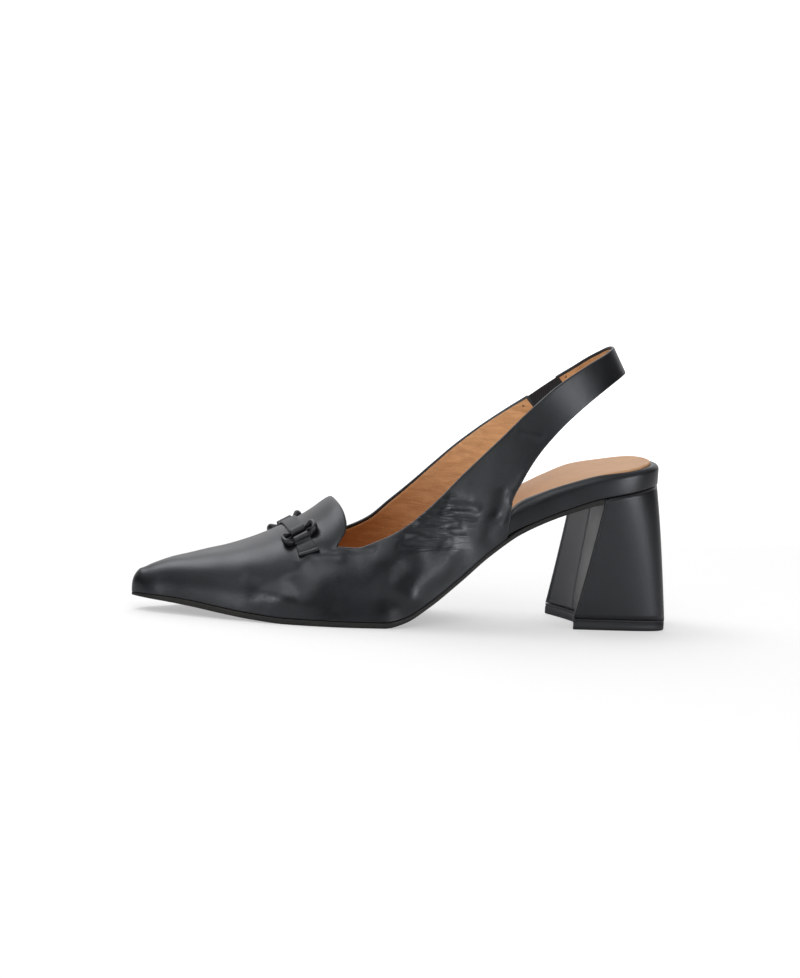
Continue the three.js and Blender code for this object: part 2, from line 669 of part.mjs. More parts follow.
// A leather strip: its middle line in the across and above directions, carried along the crest.
// skewAt slides its rear edge further across than its front edge.
function strip(line, widthAt, skewAt = () => 0) {
  const offsets = line.map((point, i) => {
    const before = line[Math.max(0, i - 1)];
    const after = line[Math.min(line.length - 1, i + 1)];
    const run = after.clone().sub(before).normalize();
    return new THREE.Vector2(-run.y, run.x).multiplyScalar(bandThickness / 2);
  });
  const outline = [
    ...line.map((point, i) => ({ place: point.clone().add(offsets[i]), width: widthAt(point.x) })),
    ...line.map((point, i) => ({ place: point.clone().sub(offsets[i]), width: widthAt(point.x) })).reverse(),
  ];
  return loft([-0.5, -0.25, 0, 0.25, 0.5].map((share) => (
    outline.map(({ place, width }) => onVamp(share * width, place.x + share * skewAt(place.x), place.y))
  )));
}

function makeBand() {
  const rail = ringAcross - ringWidth / 2;
  const half = [
    ...bandPlaces.map((share) => new THREE.Vector2(rail * share, flatHeight)),
    ...wrapAround(rail, halfTurn - wrapLeave, -wrapUnder),
  ];
  const mirrored = half.slice(1).reverse().map((p) => new THREE.Vector2(-p.x, p.y));
  return strip([...mirrored, ...half], () => bandWidth);
}

function makeTab(hand) {
  const rail = ringAcross + ringWidth / 2;
  const line = [
    ...wrapAround(rail, halfTurn + wrapUnder, wrapLeave),
    ...tabPlaces.map((share) => new THREE.Vector2(mix(rail + wrapRadius, tabEnd, share), flatHeight)),
  ].map((p) => new THREE.Vector2(hand * p.x, p.y));
  if (hand < 0) line.reverse();
  const down = (across) => clamp((Math.abs(across) - rail) / (tabEnd - rail));
  return strip(line, (across) => mix(bandWidth, tabWidth, down(across)), (across) => hand * tabSkew * down(across));
}

const blackLeather = { color: 0x26262a, roughness: 0.42, metalness: 0 };
const tanLeather = { color: 0xcf9f76, roughness: 0.55, metalness: 0 };
const soleEdge = { color: 0x35322a, roughness: 0.7, metalness: 0 };
const blackRubber = { color: 0x1b1b1c, roughness: 0.6, metalness: 0 };
const blackElastic = { color: 0x17171a, roughness: 0.9, metalness: 0 };
const blackMetal = { color: 0x2b2b2e, roughness: 0.35, metalness: 0.2 };

const pieces = [
  ['upper', makeUpper(), blackLeather],
  ['insole', makeInsole(), tanLeather],
  ['footbed_rim', makeRim(), blackLeather],
  ['outsole', makeOutsole(), soleEdge],
  ['heel', makeHeel(), blackLeather],
  ['heel_lift', makeLift(), blackRubber],
  ['ring_outer', makeRing(1), blackMetal],
  ['ring_inner', makeRing(-1), blackMetal],
  ['band', makeBand(), blackLeather],
  ['tab_outer', makeTab(1), blackLeather],
  ['tab_inner', makeTab(-1), blackLeather],
  ['elastic', makeElastic(), blackElastic],
];

const shoe = new THREE.Group();
for (const [name, geometry, finish] of pieces) {
  const mesh = new THREE.Mesh(geometry, new THREE.MeshStandardMaterial(finish));
  mesh.name = name;
  shoe.add(mesh);
}
shoe.position.set(-shoeLength / 2, 0, 0);

export default shoe;
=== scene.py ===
# Looks of a slingback pump for a left foot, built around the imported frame.
# Lengths below are millimetres with x from the toe tip to the heel, +y the inner side and z up;
# makePiece turns them into metres in the frame.
import bpy
import numpy as np
from mathutils import Matrix, Vector


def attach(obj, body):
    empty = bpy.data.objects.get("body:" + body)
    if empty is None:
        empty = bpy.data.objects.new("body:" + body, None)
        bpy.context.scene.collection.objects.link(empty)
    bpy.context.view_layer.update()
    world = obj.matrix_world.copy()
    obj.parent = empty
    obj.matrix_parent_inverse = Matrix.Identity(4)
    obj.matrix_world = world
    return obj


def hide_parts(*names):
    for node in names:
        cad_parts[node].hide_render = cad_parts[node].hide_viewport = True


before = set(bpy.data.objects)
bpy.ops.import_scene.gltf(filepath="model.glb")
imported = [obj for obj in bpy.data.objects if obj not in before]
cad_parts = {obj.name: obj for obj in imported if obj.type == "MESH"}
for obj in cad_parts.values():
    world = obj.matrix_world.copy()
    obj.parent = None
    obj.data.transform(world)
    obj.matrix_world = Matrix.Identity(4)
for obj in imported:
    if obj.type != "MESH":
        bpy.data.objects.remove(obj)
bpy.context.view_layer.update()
print("frame loaded")

# Sizes of the shoe, as in the frame
shoe = {
    "length": 243.4,
    "ballWidth": 74,
    "instepHeight": 54.2,
    "seatHeight": 57.3,
    "collarHeight": 127.2,
    "toeSpring": 6.2,
    "toeRound": 10,
    "noseRound": 3.6,
    "outsoleThickness": 2.6,
    "wall": 1.8,
    "clearance": 0.3,
    "notchAlong": 0.3475,
    "seatStart": 0.8406, "heelSetback": 2.3,
    "seatEnd": 0.9749,
    "seatPower": 2.6,
    "quarterEnd": 0.6676,
    "heelCurveDepth": 53,
}
long = shoe["length"]

# Sole sections: along, outer, inner, swing, spring, arch, edge
soleSections = np.array([
    (0, 0.074, 0.074, 0.022, 1, 0, 0.45),
    (0.0119, 0.095, 0.095, 0.022, 0.97, 0, 0.6),
    (0.0478, 0.142, 0.145, 0.02, 0.86, 0, 0.85),
    (0.0996, 0.23, 0.236, 0.017, 0.66, 0, 1),
    (0.1483, 0.308, 0.308, 0.013, 0.4, 0, 1),
    (0.2017, 0.38, 0.372, 0.009, 0.15, 0, 1),
    (0.2632, 0.444, 0.43, 0.004, 0, 0, 1),
    (0.3251, 0.486, 0.478, 0.002, 0, 0, 1),
    (0.3781, 0.5, 0.5, 0, 0, 0, 1),
    (0.4401, 0.494, 0.488, 0, 0, 0, 1),
    (0.4771, 0.47, 0.458, 0, 0, 0.0366, 0.95),
    (0.526, 0.43, 0.404, 0, 0, 0.162, 0.9),
    (0.5841, 0.385, 0.324, 0, 0, 0.358, 0.9),
    (0.637, 0.36, 0.243, 0, 0, 0.558, 0.9),
    (0.6865, 0.353, 0.212, 0, 0, 0.717, 0.9),
    (0.736, 0.358, 0.232, 0, 0, 0.831, 0.9),
    (0.777, 0.365, 0.284, 0, 0, 0.906, 0.9),
    (0.8427, 0.372, 0.351, 0, 0, 1, 1),
    (0.8999, 0.372, 0.351, 0, 0, 1.05, 1),
    (0.9564, 0.372, 0.351, 0, 0, 1.102, 1),
    (1, 0.372, 0.351, 0, 0, 1.128, 1),
])
outer, inner, swing, spring, arch, edge = range(1, 7)

# Crest of the vamp and tongue: along, height
crestLine = np.array([
    (0, 0.315), (0.0199, 0.349), (0.0414, 0.389), (0.0725, 0.441), (0.104, 0.477),
    (0.136, 0.517), (0.1684, 0.553), (0.2009, 0.6), (0.2334, 0.657), (0.2675, 0.728),
    (0.3077, 0.828), (0.3271, 0.888), (0.3545, 0.982), (0.3811, 1.035),
])

# Half width at the collar: along, outer, inner
collarSections = np.array([
    (0.3475, 0.369, 0.369), (0.3822, 0.395, 0.39), (0.4191, 0.416, 0.408),
    (0.4811, 0.419, 0.419), (0.5221, 0.407, 0.41), (0.5881, 0.379, 0.386),
    (0.649, 0.363, 0.367), (0.696, 0.358, 0.358), (1, 0.358, 0.358),
])

# Ribs from the notch to the back of the heel: top, topHeight, foot, footHeight
outerRibs = np.array([
    (0.3475, 0.271, 0.3475, 0), (0.3822, 0.2685, 0.3952, 0), (0.4191, 0.293, 0.4441, 0),
    (0.4581, 0.331, 0.4911, 0), (0.4971, 0.386, 0.5341, 0), (0.5365, 0.457, 0.5756, 0),
    (0.5756, 0.535, 0.6125, 0), (0.6146, 0.6094, 0.643, 0), (0.6496, 0.677, 0.6676, 0),
    (0.68, 0.7386, 0.671, 0.441), (0.709, 0.795, 0.6886, 0.526), (0.736, 0.8425, 0.7153, 0.619),
    (0.7646, 0.8835, 0.754, 0.713), (0.7925, 0.9173, 0.7995, 0.795), (0.818, 0.9457, 0.8406, 0.8535),
    (0.8448, 0.971, 0.8713, 0.89), (0.8673, 0.992, 0.8929, 0.91), (0.8775, 1, 0.9026, 0.9157),
])
innerRibs = np.array([
    (0.3475, 0.271, 0.3475, 0), (0.3822, 0.2685, 0.3952, 0), (0.4191, 0.291, 0.4441, 0),
    (0.4581, 0.327, 0.4911, 0), (0.4971, 0.3905, 0.5341, 0), (0.5365, 0.458, 0.5756, 0),
    (0.5756, 0.53, 0.6125, 0), (0.6146, 0.6, 0.643, 0), (0.6496, 0.656, 0.6676, 0),
    (0.6824, 0.7045, 0.6865, 0.48), (0.7153, 0.749, 0.7297, 0.618), (0.7482, 0.793, 0.785, 0.71),
    (0.773, 0.831, 0.811, 0.748), (0.799, 0.871, 0.8364, 0.789), (0.8264, 0.912, 0.8615, 0.832),
    (0.8489, 0.9495, 0.8819, 0.869), (0.8681, 0.981, 0.896, 0.8984), (0.8775, 1, 0.9026, 0.9157),
])
cornerRib, quarterRib, strapRib, backRib = 8, 11, 13, 17

# Edge of the tongue between notch and crest: along, reach
tongueReach = 5.6
tongueEdge = np.array([
    (0, 0), (0.07, 0.25), (0.16, 0.72), (0.27, 0.86), (0.42, 0.8), (0.62, 0.62), (0.82, 0.45), (1, 0.4),
])


# a + (b - a) * share
def mix(a, b, share):
    return a + (b - a) * share


# 3 s^2 - 2 s^3 of the share kept between 0 and 1
def ease(share):
    s = np.clip(share, 0, 1)
    return s * s * (3 - 2 * s)


# 1 at the middle, falling off as exp(-(distance / width)^2)
def bump(distance, width):
    return np.exp(-((distance / width) ** 2))


# Smooth value of a table's column: cubic pieces whose slopes are the harmonic mean of the two
# neighbouring chords, or nothing where those disagree in sign.
def read(rows, column, along):
    xs, ys = rows[:, 0], rows[:, column]
    chord = np.diff(ys) / np.diff(xs)
    product = chord[:-1] * chord[1:]
    total = np.where(product > 0, chord[:-1] + chord[1:], 1)
    middle = np.where(product > 0, 2 * product / total, 0)
    slope = np.concatenate([chord[:1], middle, chord[-1:]])
    along = np.asarray(along, float)
    i = np.clip(np.searchsorted(xs, along, side="left") - 1, 0, len(xs) - 2)
    span = xs[i + 1] - xs[i]
    t = np.clip((along - xs[i]) / span, 0, 1)
    start = (2 * t**3 - 3 * t**2 + 1) * ys[i] + (t**3 - 2 * t**2 + t) * slope[i] * span
    end = (3 * t**2 - 2 * t**3) * ys[i + 1] + (t**3 - t**2) * slope[i + 1] * span
    return start + end


# Sole underside: toe spring and arch, each a table times its size
def soleUnder(x):
    rise = shoe["toeSpring"] * read(soleSections, spring, x / long)
    return rise + shoe["seatHeight"] * read(soleSections, arch, x / long)


# Underside plus the sole's thickness
def soleTop(x):
    return soleUnder(x) + shoe["outsoleThickness"] * read(soleSections, edge, x / long)


# Edge of the upper: the clearance above the sole
def upperFoot(x):
    return soleTop(x) + shoe["clearance"]


# Middle of the sole: the swing times the ball width
def centreLine(x):
    return shoe["ballWidth"] * read(soleSections, swing, x / long)


# Table times a round toe and a round seat, moved in square to the outline by inset
def halfWidth(x, side, inset=0.0, backInset=None):
    backInset = inset if backInset is None else backInset
    width = shoe["ballWidth"] * read(soleSections, side, x / long)
    slope = shoe["ballWidth"] * read(soleSections, side, (x + 1) / long) - width
    toe = np.sqrt(1 - (1 - np.clip((x - inset) / shoe["toeRound"], 0, 1)) ** 2)
    room = (shoe["seatEnd"] - shoe["seatStart"]) * long - backInset
    share = np.clip((x - shoe["seatStart"] * long) / room, 0, 1)
    seat = (1 - share ** shoe["seatPower"]) ** (1 / shoe["seatPower"])
    return np.maximum(0, (width - inset * np.hypot(1, slope)) * toe * seat)


# Crest table times the instep height
def crestHeight(x):
    return shoe["instepHeight"] * read(crestLine, 1, x / long)


# Half ellipse from the outer foot (angle 0) over the crest to the inner foot (angle pi)
def vampPoint(x, angle):
    x, angle = np.broadcast_arrays(np.asarray(x, float), np.asarray(angle, float))
    half = np.where(angle < np.pi / 2, halfWidth(x, outer), halfWidth(x, inner))
    nose = np.sqrt(1 - (1 - np.clip(x / shoe["noseRound"], 0, 1)) ** 2)
    rise = (crestHeight(x) - upperFoot(x)) * nose
    y = centreLine(x) - half * np.cos(angle)
    return np.stack([x, y, upperFoot(x) + rise * np.sin(angle)], -1)


notchX = shoe["notchAlong"] * long
notchRise = outerRibs[0, 1] * shoe["collarHeight"] - upperFoot(notchX)
notchAngle = float(np.arcsin(notchRise / (crestHeight(notchX) - upperFoot(notchX))))
backLean = np.arctan2(
    (outerRibs[-1, 2] - outerRibs[-1, 0]) * long,
    (outerRibs[-1, 1] - outerRibs[-1, 3]) * shoe["collarHeight"],
)


# Distance along a line that leans like the strap's back edge
def aroundHeel(x, z):
    return x * np.cos(backLean) + z * np.sin(backLean)


heelCurveEnd = aroundHeel(outerRibs[-1, 0] * long, shoe["collarHeight"])


# Half width of quarter and strap: between the sole's and the collar's by the height share squared,
# times a quarter ellipse that closes behind the heel
def sideHalf(x, z, side):
    ribs = outerRibs if side == outer else innerRibs
    collar = shoe["collarHeight"] * read(ribs[:, :2], 1, x / long)
    share = np.clip((z - upperFoot(x)) / (collar - upperFoot(x)), 0, 1)
    low = halfWidth(np.minimum(x, shoe["seatStart"] * long), side)
    high = shoe["ballWidth"] * read(collarSections, side, x / long)
    depth = shoe["heelCurveDepth"]
    turn = np.clip((aroundHeel(x, z) - heelCurveEnd + depth) / depth, 0, 1)
    return np.sqrt(low**2 + (high**2 - low**2) * share**2) * np.sqrt(1 - turn**2)


# Point of a rib: from its foot to the collar by sin(notch angle * share) / sin(notch angle)
def ribPoint(side, rib, share):
    ribs = outerRibs if side == outer else innerRibs
    rib, share = np.broadcast_arrays(np.asarray(rib, float), np.asarray(share, float))
    rows = np.column_stack([np.arange(len(ribs)), ribs])
    footX = long * read(rows, 3, rib)
    cornerZ = upperFoot(ribs[cornerRib, 2] * long)
    free = rows[cornerRib:, [0, 4]] * (1, shoe["collarHeight"])
    free[0, 1] = cornerZ
    footZ = np.where(rib <= cornerRib, upperFoot(footX), read(free, 1, rib))
    height = np.sin(notchAngle * share) / np.sin(notchAngle)
    x = mix(footX, long * read(rows, 1, rib), height)
    z = mix(footZ, shoe["collarHeight"] * read(rows, 2, rib), height)
    hand = -1 if side == outer else 1
    return np.stack([x, centreLine(x) + hand * sideHalf(x, z, side), z], -1)


# Triangles of a grid of points, two per cell
def gridFaces(columns, rows):
    i, j = np.meshgrid(np.arange(columns - 1), np.arange(rows - 1), indexing="ij")
    a = (i * rows + j).ravel()
    b, c, d = a + rows, a + rows + 1, a + 1
    return np.concatenate([np.stack([a, b, c], 1), np.stack([a, c, d], 1)])


# Points that agree when rounded become one, and triangles that collapse by it are left out
def mergePoints(points, faces, digits):
    points = np.asarray(points)
    kept, again = np.unique(np.round(points, digits), axis=0, return_index=True, return_inverse=True)[1:]
    faces = again.reshape(-1)[np.asarray(faces)]
    whole = (faces[:, 0] != faces[:, 1]) & (faces[:, 1] != faces[:, 2]) & (faces[:, 2] != faces[:, 0])
    return points[kept], faces[whole]


# Grids as one net
def joinNets(nets):
    points, faces, count = [], [], 0
    for net in nets:
        faces.append(gridFaces(*net.shape[:2]) + count)
        points.append(net.reshape(-1, 3))
        count += len(points[-1])
    return mergePoints(np.concatenate(points), np.concatenate(faces), 3)


# Unit normals: the sum of the neighbouring triangles' cross products
def vertexNormals(points, faces):
    a, b, c = (points[faces[:, k]] for k in range(3))
    cross = np.cross(b - a, c - a)
    normals = np.zeros_like(points)
    for k in range(3):
        np.add.at(normals, faces[:, k], cross)
    return normals / np.maximum(np.linalg.norm(normals, axis=1), 1e-12)[:, None]


# A closed skin: the outer face lies start below the nets, the inner one wall further in, and each
# free edge is a half round of the wall's thickness. Points on the sole keep their height.
def skin(nets, start, wall, relief=None, rounds=5, full=1.0):
    points, faces = joinNets(nets)
    normals = vertexNormals(points, faces)
    onSole = np.abs(points[:, 2] - upperFoot(points[:, 0])) < 1e-4
    if relief is not None:
        points = points + normals * (relief(points) * ~onSole)[:, None]
        normals = vertexNormals(points, faces)
    normals[onSole, 2] = 0
    normals /= np.linalg.norm(normals, axis=1)[:, None]
    front, back = points - normals * start, points - normals * (start + wall)
    for side in (front, back):
        side[onSole, 2] = upperFoot(side[onSole, 0])
    count = len(points)
    sides = np.concatenate([faces[:, [0, 1]], faces[:, [1, 2]], faces[:, [2, 0]]])
    free = ~np.isin(sides[:, 0] * count + sides[:, 1], sides[:, 1] * count + sides[:, 0])
    a, b = sides[free].T
    along = front[b] - front[a]
    run = np.zeros_like(points)
    np.add.at(run, a, along)
    np.add.at(run, b, along)
    rim = np.unique(np.concatenate([a, b]))
    out = np.cross(run[rim], normals[rim])
    out /= np.maximum(np.linalg.norm(out, axis=1), 1e-12)[:, None]
    out[onSole[rim]] = 0
    layers, place = [front, back], np.zeros((rounds + 1, count), int)
    place[0], place[rounds] = np.arange(count), count + np.arange(count)
    for k in range(1, rounds):
        turn = np.pi * k / rounds
        level = mix(front[rim], back[rim], (1 - np.cos(turn)) / 2)
        layers.append(level + out * (wall / 2 * full * np.sin(turn)))
        place[k, rim] = 2 * count + (k - 1) * len(rim) + np.arange(len(rim))
    triangles = [faces, faces[:, ::-1] + count]
    for k in range(rounds):
        p, q, r, s = place[k, a], place[k, b], place[k + 1, a], place[k + 1, b]
        triangles += [np.stack([q, p, r], 1), np.stack([q, r, s], 1)]
    return np.concatenate(layers), np.concatenate(triangles)


# A closed solid through loops with as many points each; a cap is a fan around the loop's middle
def loft(loops, closed=False):
    loops = np.asarray(loops)
    count, size = loops.shape[:2]
    i = np.arange(count if closed else count - 1)[:, None]
    k = np.arange(size)[None, :]
    a, b = i * size + k, i * size + (k + 1) % size
    c, d = ((i + 1) % count) * size + k, ((i + 1) % count) * size + (k + 1) % size
    faces = [np.stack([a, d, c], -1).reshape(-1, 3), np.stack([a, b, d], -1).reshape(-1, 3)]
    points = loops.reshape(-1, 3)
    if not closed:
        points = np.concatenate([points, loops[[0, -1]].mean(1)])
        here, ahead = np.arange(size), (np.arange(size) + 1) % size
        first, last = np.full(size, count * size), np.full(size, count * size + 1)
        faces.append(np.stack([first, ahead, here], 1))
        faces.append(np.stack([last, here + (count - 1) * size, ahead + (count - 1) * size], 1))
    return points, np.concatenate(faces)


# Places from one end to the other, close together at the ends by a cosine
def spread(start, end, count):
    return mix(start, end, (1 - np.cos(np.linspace(0, np.pi, count))) / 2)


# A lofted solid whose pointed end closes: points merge, and triangles back to back are dropped
def weld(points, faces):
    points, faces = mergePoints(points, faces, 2)
    same, times = np.unique(np.sort(faces, axis=1), axis=0, return_inverse=True, return_counts=True)[1:]
    return points, faces[times[same.reshape(-1)] == 1]


slabEdge = {"step": 0.2, "mostRound": 0.48, "atPoint": 10, "lipStart": 0.7}


# Cross sections with rounded edges, lofted. Each corner is a quarter circle that leans back with the
# outline; dish lowers the middle of the upper face and lip raises its outer edge.
def slab(stations, half, low, high, lowRound, highRound, dish=None, lip=None, across=25, corner=6):
    turn = np.linspace(0, np.pi / 2, corner)
    loops = []
    for x in stations:
        wide = {-1: float(half(x, outer)), 1: float(half(x, inner))}
        before = float(half(x - slabEdge["step"], outer) + half(x - slabEdge["step"], inner))
        lean = np.arctan(max(0, before - wide[-1] - wide[1]) / (2 * slabEdge["step"]))
        back, aside = np.sin(lean), np.cos(lean)
        under, over = float(low(x)), float(high(x))
        room = min(wide.values()) + slabEdge["atPoint"] * back
        most = min((over - under) * slabEdge["mostRound"], room)
        small, big = min(lowRound, most), min(highRound, most)
        middle = float(centreLine(x))
        share = np.linspace(-1, 1, across)
        sunk = dish(x, share) if dish is not None else 0 * share
        raised = float(lip(x)) if lip is not None else 0.0
        sunk = sunk - raised * ease((-share - slabEdge["lipStart"]) / (1 - slabEdge["lipStart"]))
        arcs = {}
        for hand in (-1, 1):
            inset = small * (1 - np.sin(turn))
            y = middle + hand * np.maximum(0, wide[hand] - aside * inset)
            arcs[hand, "low"] = np.stack([x - back * inset, y, under + small * (1 - np.cos(turn))], 1)
            inset = big * (1 - np.cos(turn))
            y = middle + hand * np.maximum(0, wide[hand] - aside * inset)
            z = over - big * (1 - np.sin(turn)) + raised * (hand < 0) * np.sin(turn)
            arcs[hand, "high"] = np.stack([x - back * inset, y, z], 1)
        ends = [arcs[-1, "low"][0], arcs[1, "low"][0], arcs[-1, "high"][-1], arcs[1, "high"][-1]]
        mixed = (1 + share[:, None]) / 2
        bottom = mix(ends[0], ends[1], mixed)
        top = mix(ends[2], ends[3], mixed)
        bottom[:, 2] = under
        top[:, 2] = over - sunk
        loops.append(np.concatenate([
            bottom[1:-1], arcs[1, "low"], arcs[1, "high"], top[1:-1][::-1],
            arcs[-1, "high"][::-1], arcs[-1, "low"][::-1],
        ]))
    return weld(*loft(loops))


# An object from points in millimetres and triangles, riding on the shoe
def makePiece(name, points, faces, material, slotName, *nodes):
    mesh = bpy.data.meshes.new(name)
    metres = (np.asarray(points, float) - (long / 2, 0, 0)) * 0.001
    mesh.vertices.add(len(metres))
    mesh.vertices.foreach_set("co", metres.astype(np.float32).ravel())
    mesh.loops.add(len(faces) * 3)
    mesh.loops.foreach_set("vertex_index", np.asarray(faces, np.int32).ravel())
    mesh.polygons.add(len(faces))
    mesh.polygons.foreach_set("loop_start", np.arange(0, len(faces) * 3, 3, dtype=np.int32))
    mesh.update(calc_edges=True)
    mesh.validate()
    mesh.polygons.foreach_set("use_smooth", np.ones(len(mesh.polygons), bool))
    mesh.materials.append(material)
    piece = bpy.data.objects.new(name, mesh)
    bpy.context.scene.collection.objects.link(piece)
    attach(piece, "root")
    if nodes:
        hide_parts(*nodes)
    return piece


# Gives each input of a node, by name or number, its value or a link from a socket
def setInputs(tree, node, values):
    for key, value in values.items():
        if isinstance(value, bpy.types.NodeSocket):
            tree.links.new(value, node.inputs[key])
        else:
            node.inputs[key].default_value = value


# Adds a node with its inputs and its settings
def addNode(tree, kind, values=None, **settings):
    node = tree.nodes.new(kind)
    for key, value in settings.items():
        setattr(node, key, value)
    setInputs(tree, node, values or {})
    return node


# One sum on numbers or sockets
def maths(tree, operation, *values):
    return addNode(tree, "ShaderNodeMath", dict(enumerate(values)), operation=operation).outputs[0]


# The same on vectors
def vectorMaths(tree, operation, first, second):
    return addNode(tree, "ShaderNodeVectorMath", {0: first, 1: second}, operation=operation).outputs[0]


# A value's share of one range as a place in another, held inside it, straight or smooth
def spreadValue(tree, value, start, end, low=0.0, high=1.0, kind="LINEAR"):
    values = {0: value, 1: start, 2: end, 3: low, 4: high}
    return addNode(tree, "ShaderNodeMapRange", values, interpolation_type=kind).outputs[0]


# Cloudy noise between 0 and 1
def noise(tree, vector, scale, detail, roughness, distortion=0.0):
    values = {
        "Vector": vector, "Scale": scale, "Detail": detail, "Roughness": roughness, "Distortion": distortion,
    }
    return addNode(tree, "ShaderNodeTexNoise", values).outputs[0]


# A colour between two by a share
def mixColour(tree, share, first, second):
    values = {"Factor": share, "A": first, "B": second}
    return addNode(tree, "ShaderNodeMix", values, data_type="RGBA").outputs["Result"]


# A bump of a height in metres, on top of another where one is given
def bumpNormal(tree, height, strength, distance, under=None):
    values = {"Height": height, "Strength": strength, "Distance": distance}
    if under is not None:
        values["Normal"] = under
    return addNode(tree, "ShaderNodeBump", values).outputs[0]


# A group with named inputs (name, kind, value) and outputs (name, kind)
def startGroup(name, inputs, outputs):
    tree = bpy.data.node_groups.new(name, "ShaderNodeTree")
    for label, kind, value in inputs:
        socket = tree.interface.new_socket(label, in_out="INPUT", socket_type=kind)
        if value is not None:
            socket.default_value = value
    for label, kind in outputs:
        tree.interface.new_socket(label, in_out="OUTPUT", socket_type=kind)
    return tree, tree.nodes.new("NodeGroupInput").outputs, tree.nodes.new("NodeGroupOutput")


# Leather: pores from the distance to a cell's edge, broken up by noise, and long soft wrinkles
def buildLeatherGroup():
    tree, given, result = startGroup(
        "leather surface",
        [
            ("Vector", "NodeSocketVector", None),
            ("Grain size", "NodeSocketFloat", 0.0007),
            ("Grain depth", "NodeSocketFloat", 1.0),
            ("Wrinkle depth", "NodeSocketFloat", 0.3),
            ("Wrinkle stretch", "NodeSocketVector", (1, 1, 1)),
            ("Fold shade", "NodeSocketFloat", 0.0),
        ],
        [("Height", "NodeSocketFloat"), ("Patch and fold shade", "NodeSocketFloat")],
    )
    place = given["Vector"]
    rate = maths(tree, "DIVIDE", 1.0, given["Grain size"])
    values = {"Vector": place, "Scale": rate, "Randomness": 0.9}
    cells = addNode(tree, "ShaderNodeTexVoronoi", values, feature="DISTANCE_TO_EDGE")
    pores = spreadValue(tree, cells.outputs["Distance"], 0.0, 0.25)
    grain = maths(tree, "MULTIPLY", pores, noise(tree, place, rate, 3.0, 0.6))
    stretched = vectorMaths(tree, "MULTIPLY", place, given["Wrinkle stretch"])
    folds = noise(tree, stretched, 260.0, 4.0, 0.55, 0.6)
    deep = maths(tree, "MULTIPLY", grain, given["Grain depth"])
    soft = maths(tree, "MULTIPLY", folds, given["Wrinkle depth"])
    # painted shade: by this share the colour patch follows the wrinkles, darker in their troughs and lighter
    # on their ridges
    values = {0: given["Fold shade"], 2: noise(tree, place, 45.0, 3.0, 0.5), 3: folds}
    patchAndFoldShade = addNode(tree, "ShaderNodeMix", values).outputs[0]
    setInputs(tree, result, {"Height": maths(tree, "ADD", deep, soft), "Patch and fold shade": patchAndFoldShade})
    return tree


# Dust and rubbing: fine streaks that lighten a dark surface, their share given
def buildScuffGroup():
    tree, given, result = startGroup(
        "scuffs",
        [("Vector", "NodeSocketVector", None), ("Amount", "NodeSocketFloat", 0.1)],
        [("Mask", "NodeSocketFloat")],
    )
    fine = noise(tree, given["Vector"], 700.0, 6.0, 0.7)
    broad = noise(tree, given["Vector"], 60.0, 2.0, 0.5)
    kept = spreadValue(tree, maths(tree, "MULTIPLY", fine, broad), 0.22, 0.5)
    setInputs(tree, result, {"Mask": maths(tree, "MULTIPLY", kept, given["Amount"])})
    return tree


# Fine wrinkles where the quarter folds: noise drawn out along the shoe, its middle value a ridge,
# kept to an oval around a place in the side view
def buildWrinkleGroup():
    tree, given, result = startGroup(
        "fine wrinkles",
        [
            ("Vector", "NodeSocketVector", None),
            ("Place", "NodeSocketVector", (0, 0, 0)),
            ("Reach", "NodeSocketVector", (1, 1, 1)),
            ("Ridge", "NodeSocketFloat", 0.2),
        ],
        [("Height", "NodeSocketFloat")],
    )
    values = {"Vector": given["Vector"], "Rotation": (0, 0.1, 0), "Scale": (55, 20, 330)}
    drawn = addNode(tree, "ShaderNodeMapping", values).outputs[0]
    offMiddle = maths(tree, "SUBTRACT", noise(tree, drawn, 1.0, 2.0, 0.45, 0.3), 0.5)
    size = maths(tree, "ABSOLUTE", offMiddle)
    ridge = spreadValue(tree, size, 0.0, given["Ridge"], 1.0, 0.0, "SMOOTHSTEP")
    away = vectorMaths(tree, "SUBTRACT", given["Vector"], given["Place"])
    share = vectorMaths(tree, "DIVIDE", away, given["Reach"])
    far = addNode(tree, "ShaderNodeVectorMath", {0: share}, operation="LENGTH").outputs["Value"]
    mask = spreadValue(tree, far, 0.3, 1.0, 1.0, 0.0, "SMOOTHSTEP")
    setInputs(tree, result, {"Height": maths(tree, "MULTIPLY", ridge, mask)})
    return tree


# Woven elastic: ribs along the strip crossed by threads, both cosine waves
def buildWeaveGroup():
    tree, given, result = startGroup(
        "woven ribs",
        [("Vector", "NodeSocketVector", None), ("Rib size", "NodeSocketFloat", 0.0009)],
        [("Height", "NodeSocketFloat")],
    )
    parts = addNode(tree, "ShaderNodeSeparateXYZ", {0: given["Vector"]})
    waves = []
    for axis, finer in (("X", 1.0), ("Z", 0.55)):
        ratio = maths(tree, "DIVIDE", parts.outputs[axis], given["Rib size"])
        turned = maths(tree, "MULTIPLY", ratio, 6.2832 / finer)
        waves.append(maths(tree, "COSINE", turned))
    setInputs(tree, result, {"Height": maths(tree, "MULTIPLY_ADD", waves[1], 0.35, waves[0])})
    return tree


leatherGroup, scuffGroup, weaveGroup = buildLeatherGroup(), buildScuffGroup(), buildWeaveGroup()
wrinkleGroup = buildWrinkleGroup()


# One of the groups above in a material, with its values
def useGroup(tree, group, values):
    return addNode(tree, "ShaderNodeGroup", values, node_tree=group).outputs


# An empty material with its shader, output and object coordinates
def startMaterial(name):
    material = bpy.data.materials.new(name)
    material.use_nodes = True
    tree = material.node_tree
    tree.nodes.clear()
    shader = addNode(tree, "ShaderNodeBsdfPrincipled")
    addNode(tree, "ShaderNodeOutputMaterial", {"Surface": shader.outputs[0]})
    return material, tree, shader, addNode(tree, "ShaderNodeTexCoord").outputs["Object"]
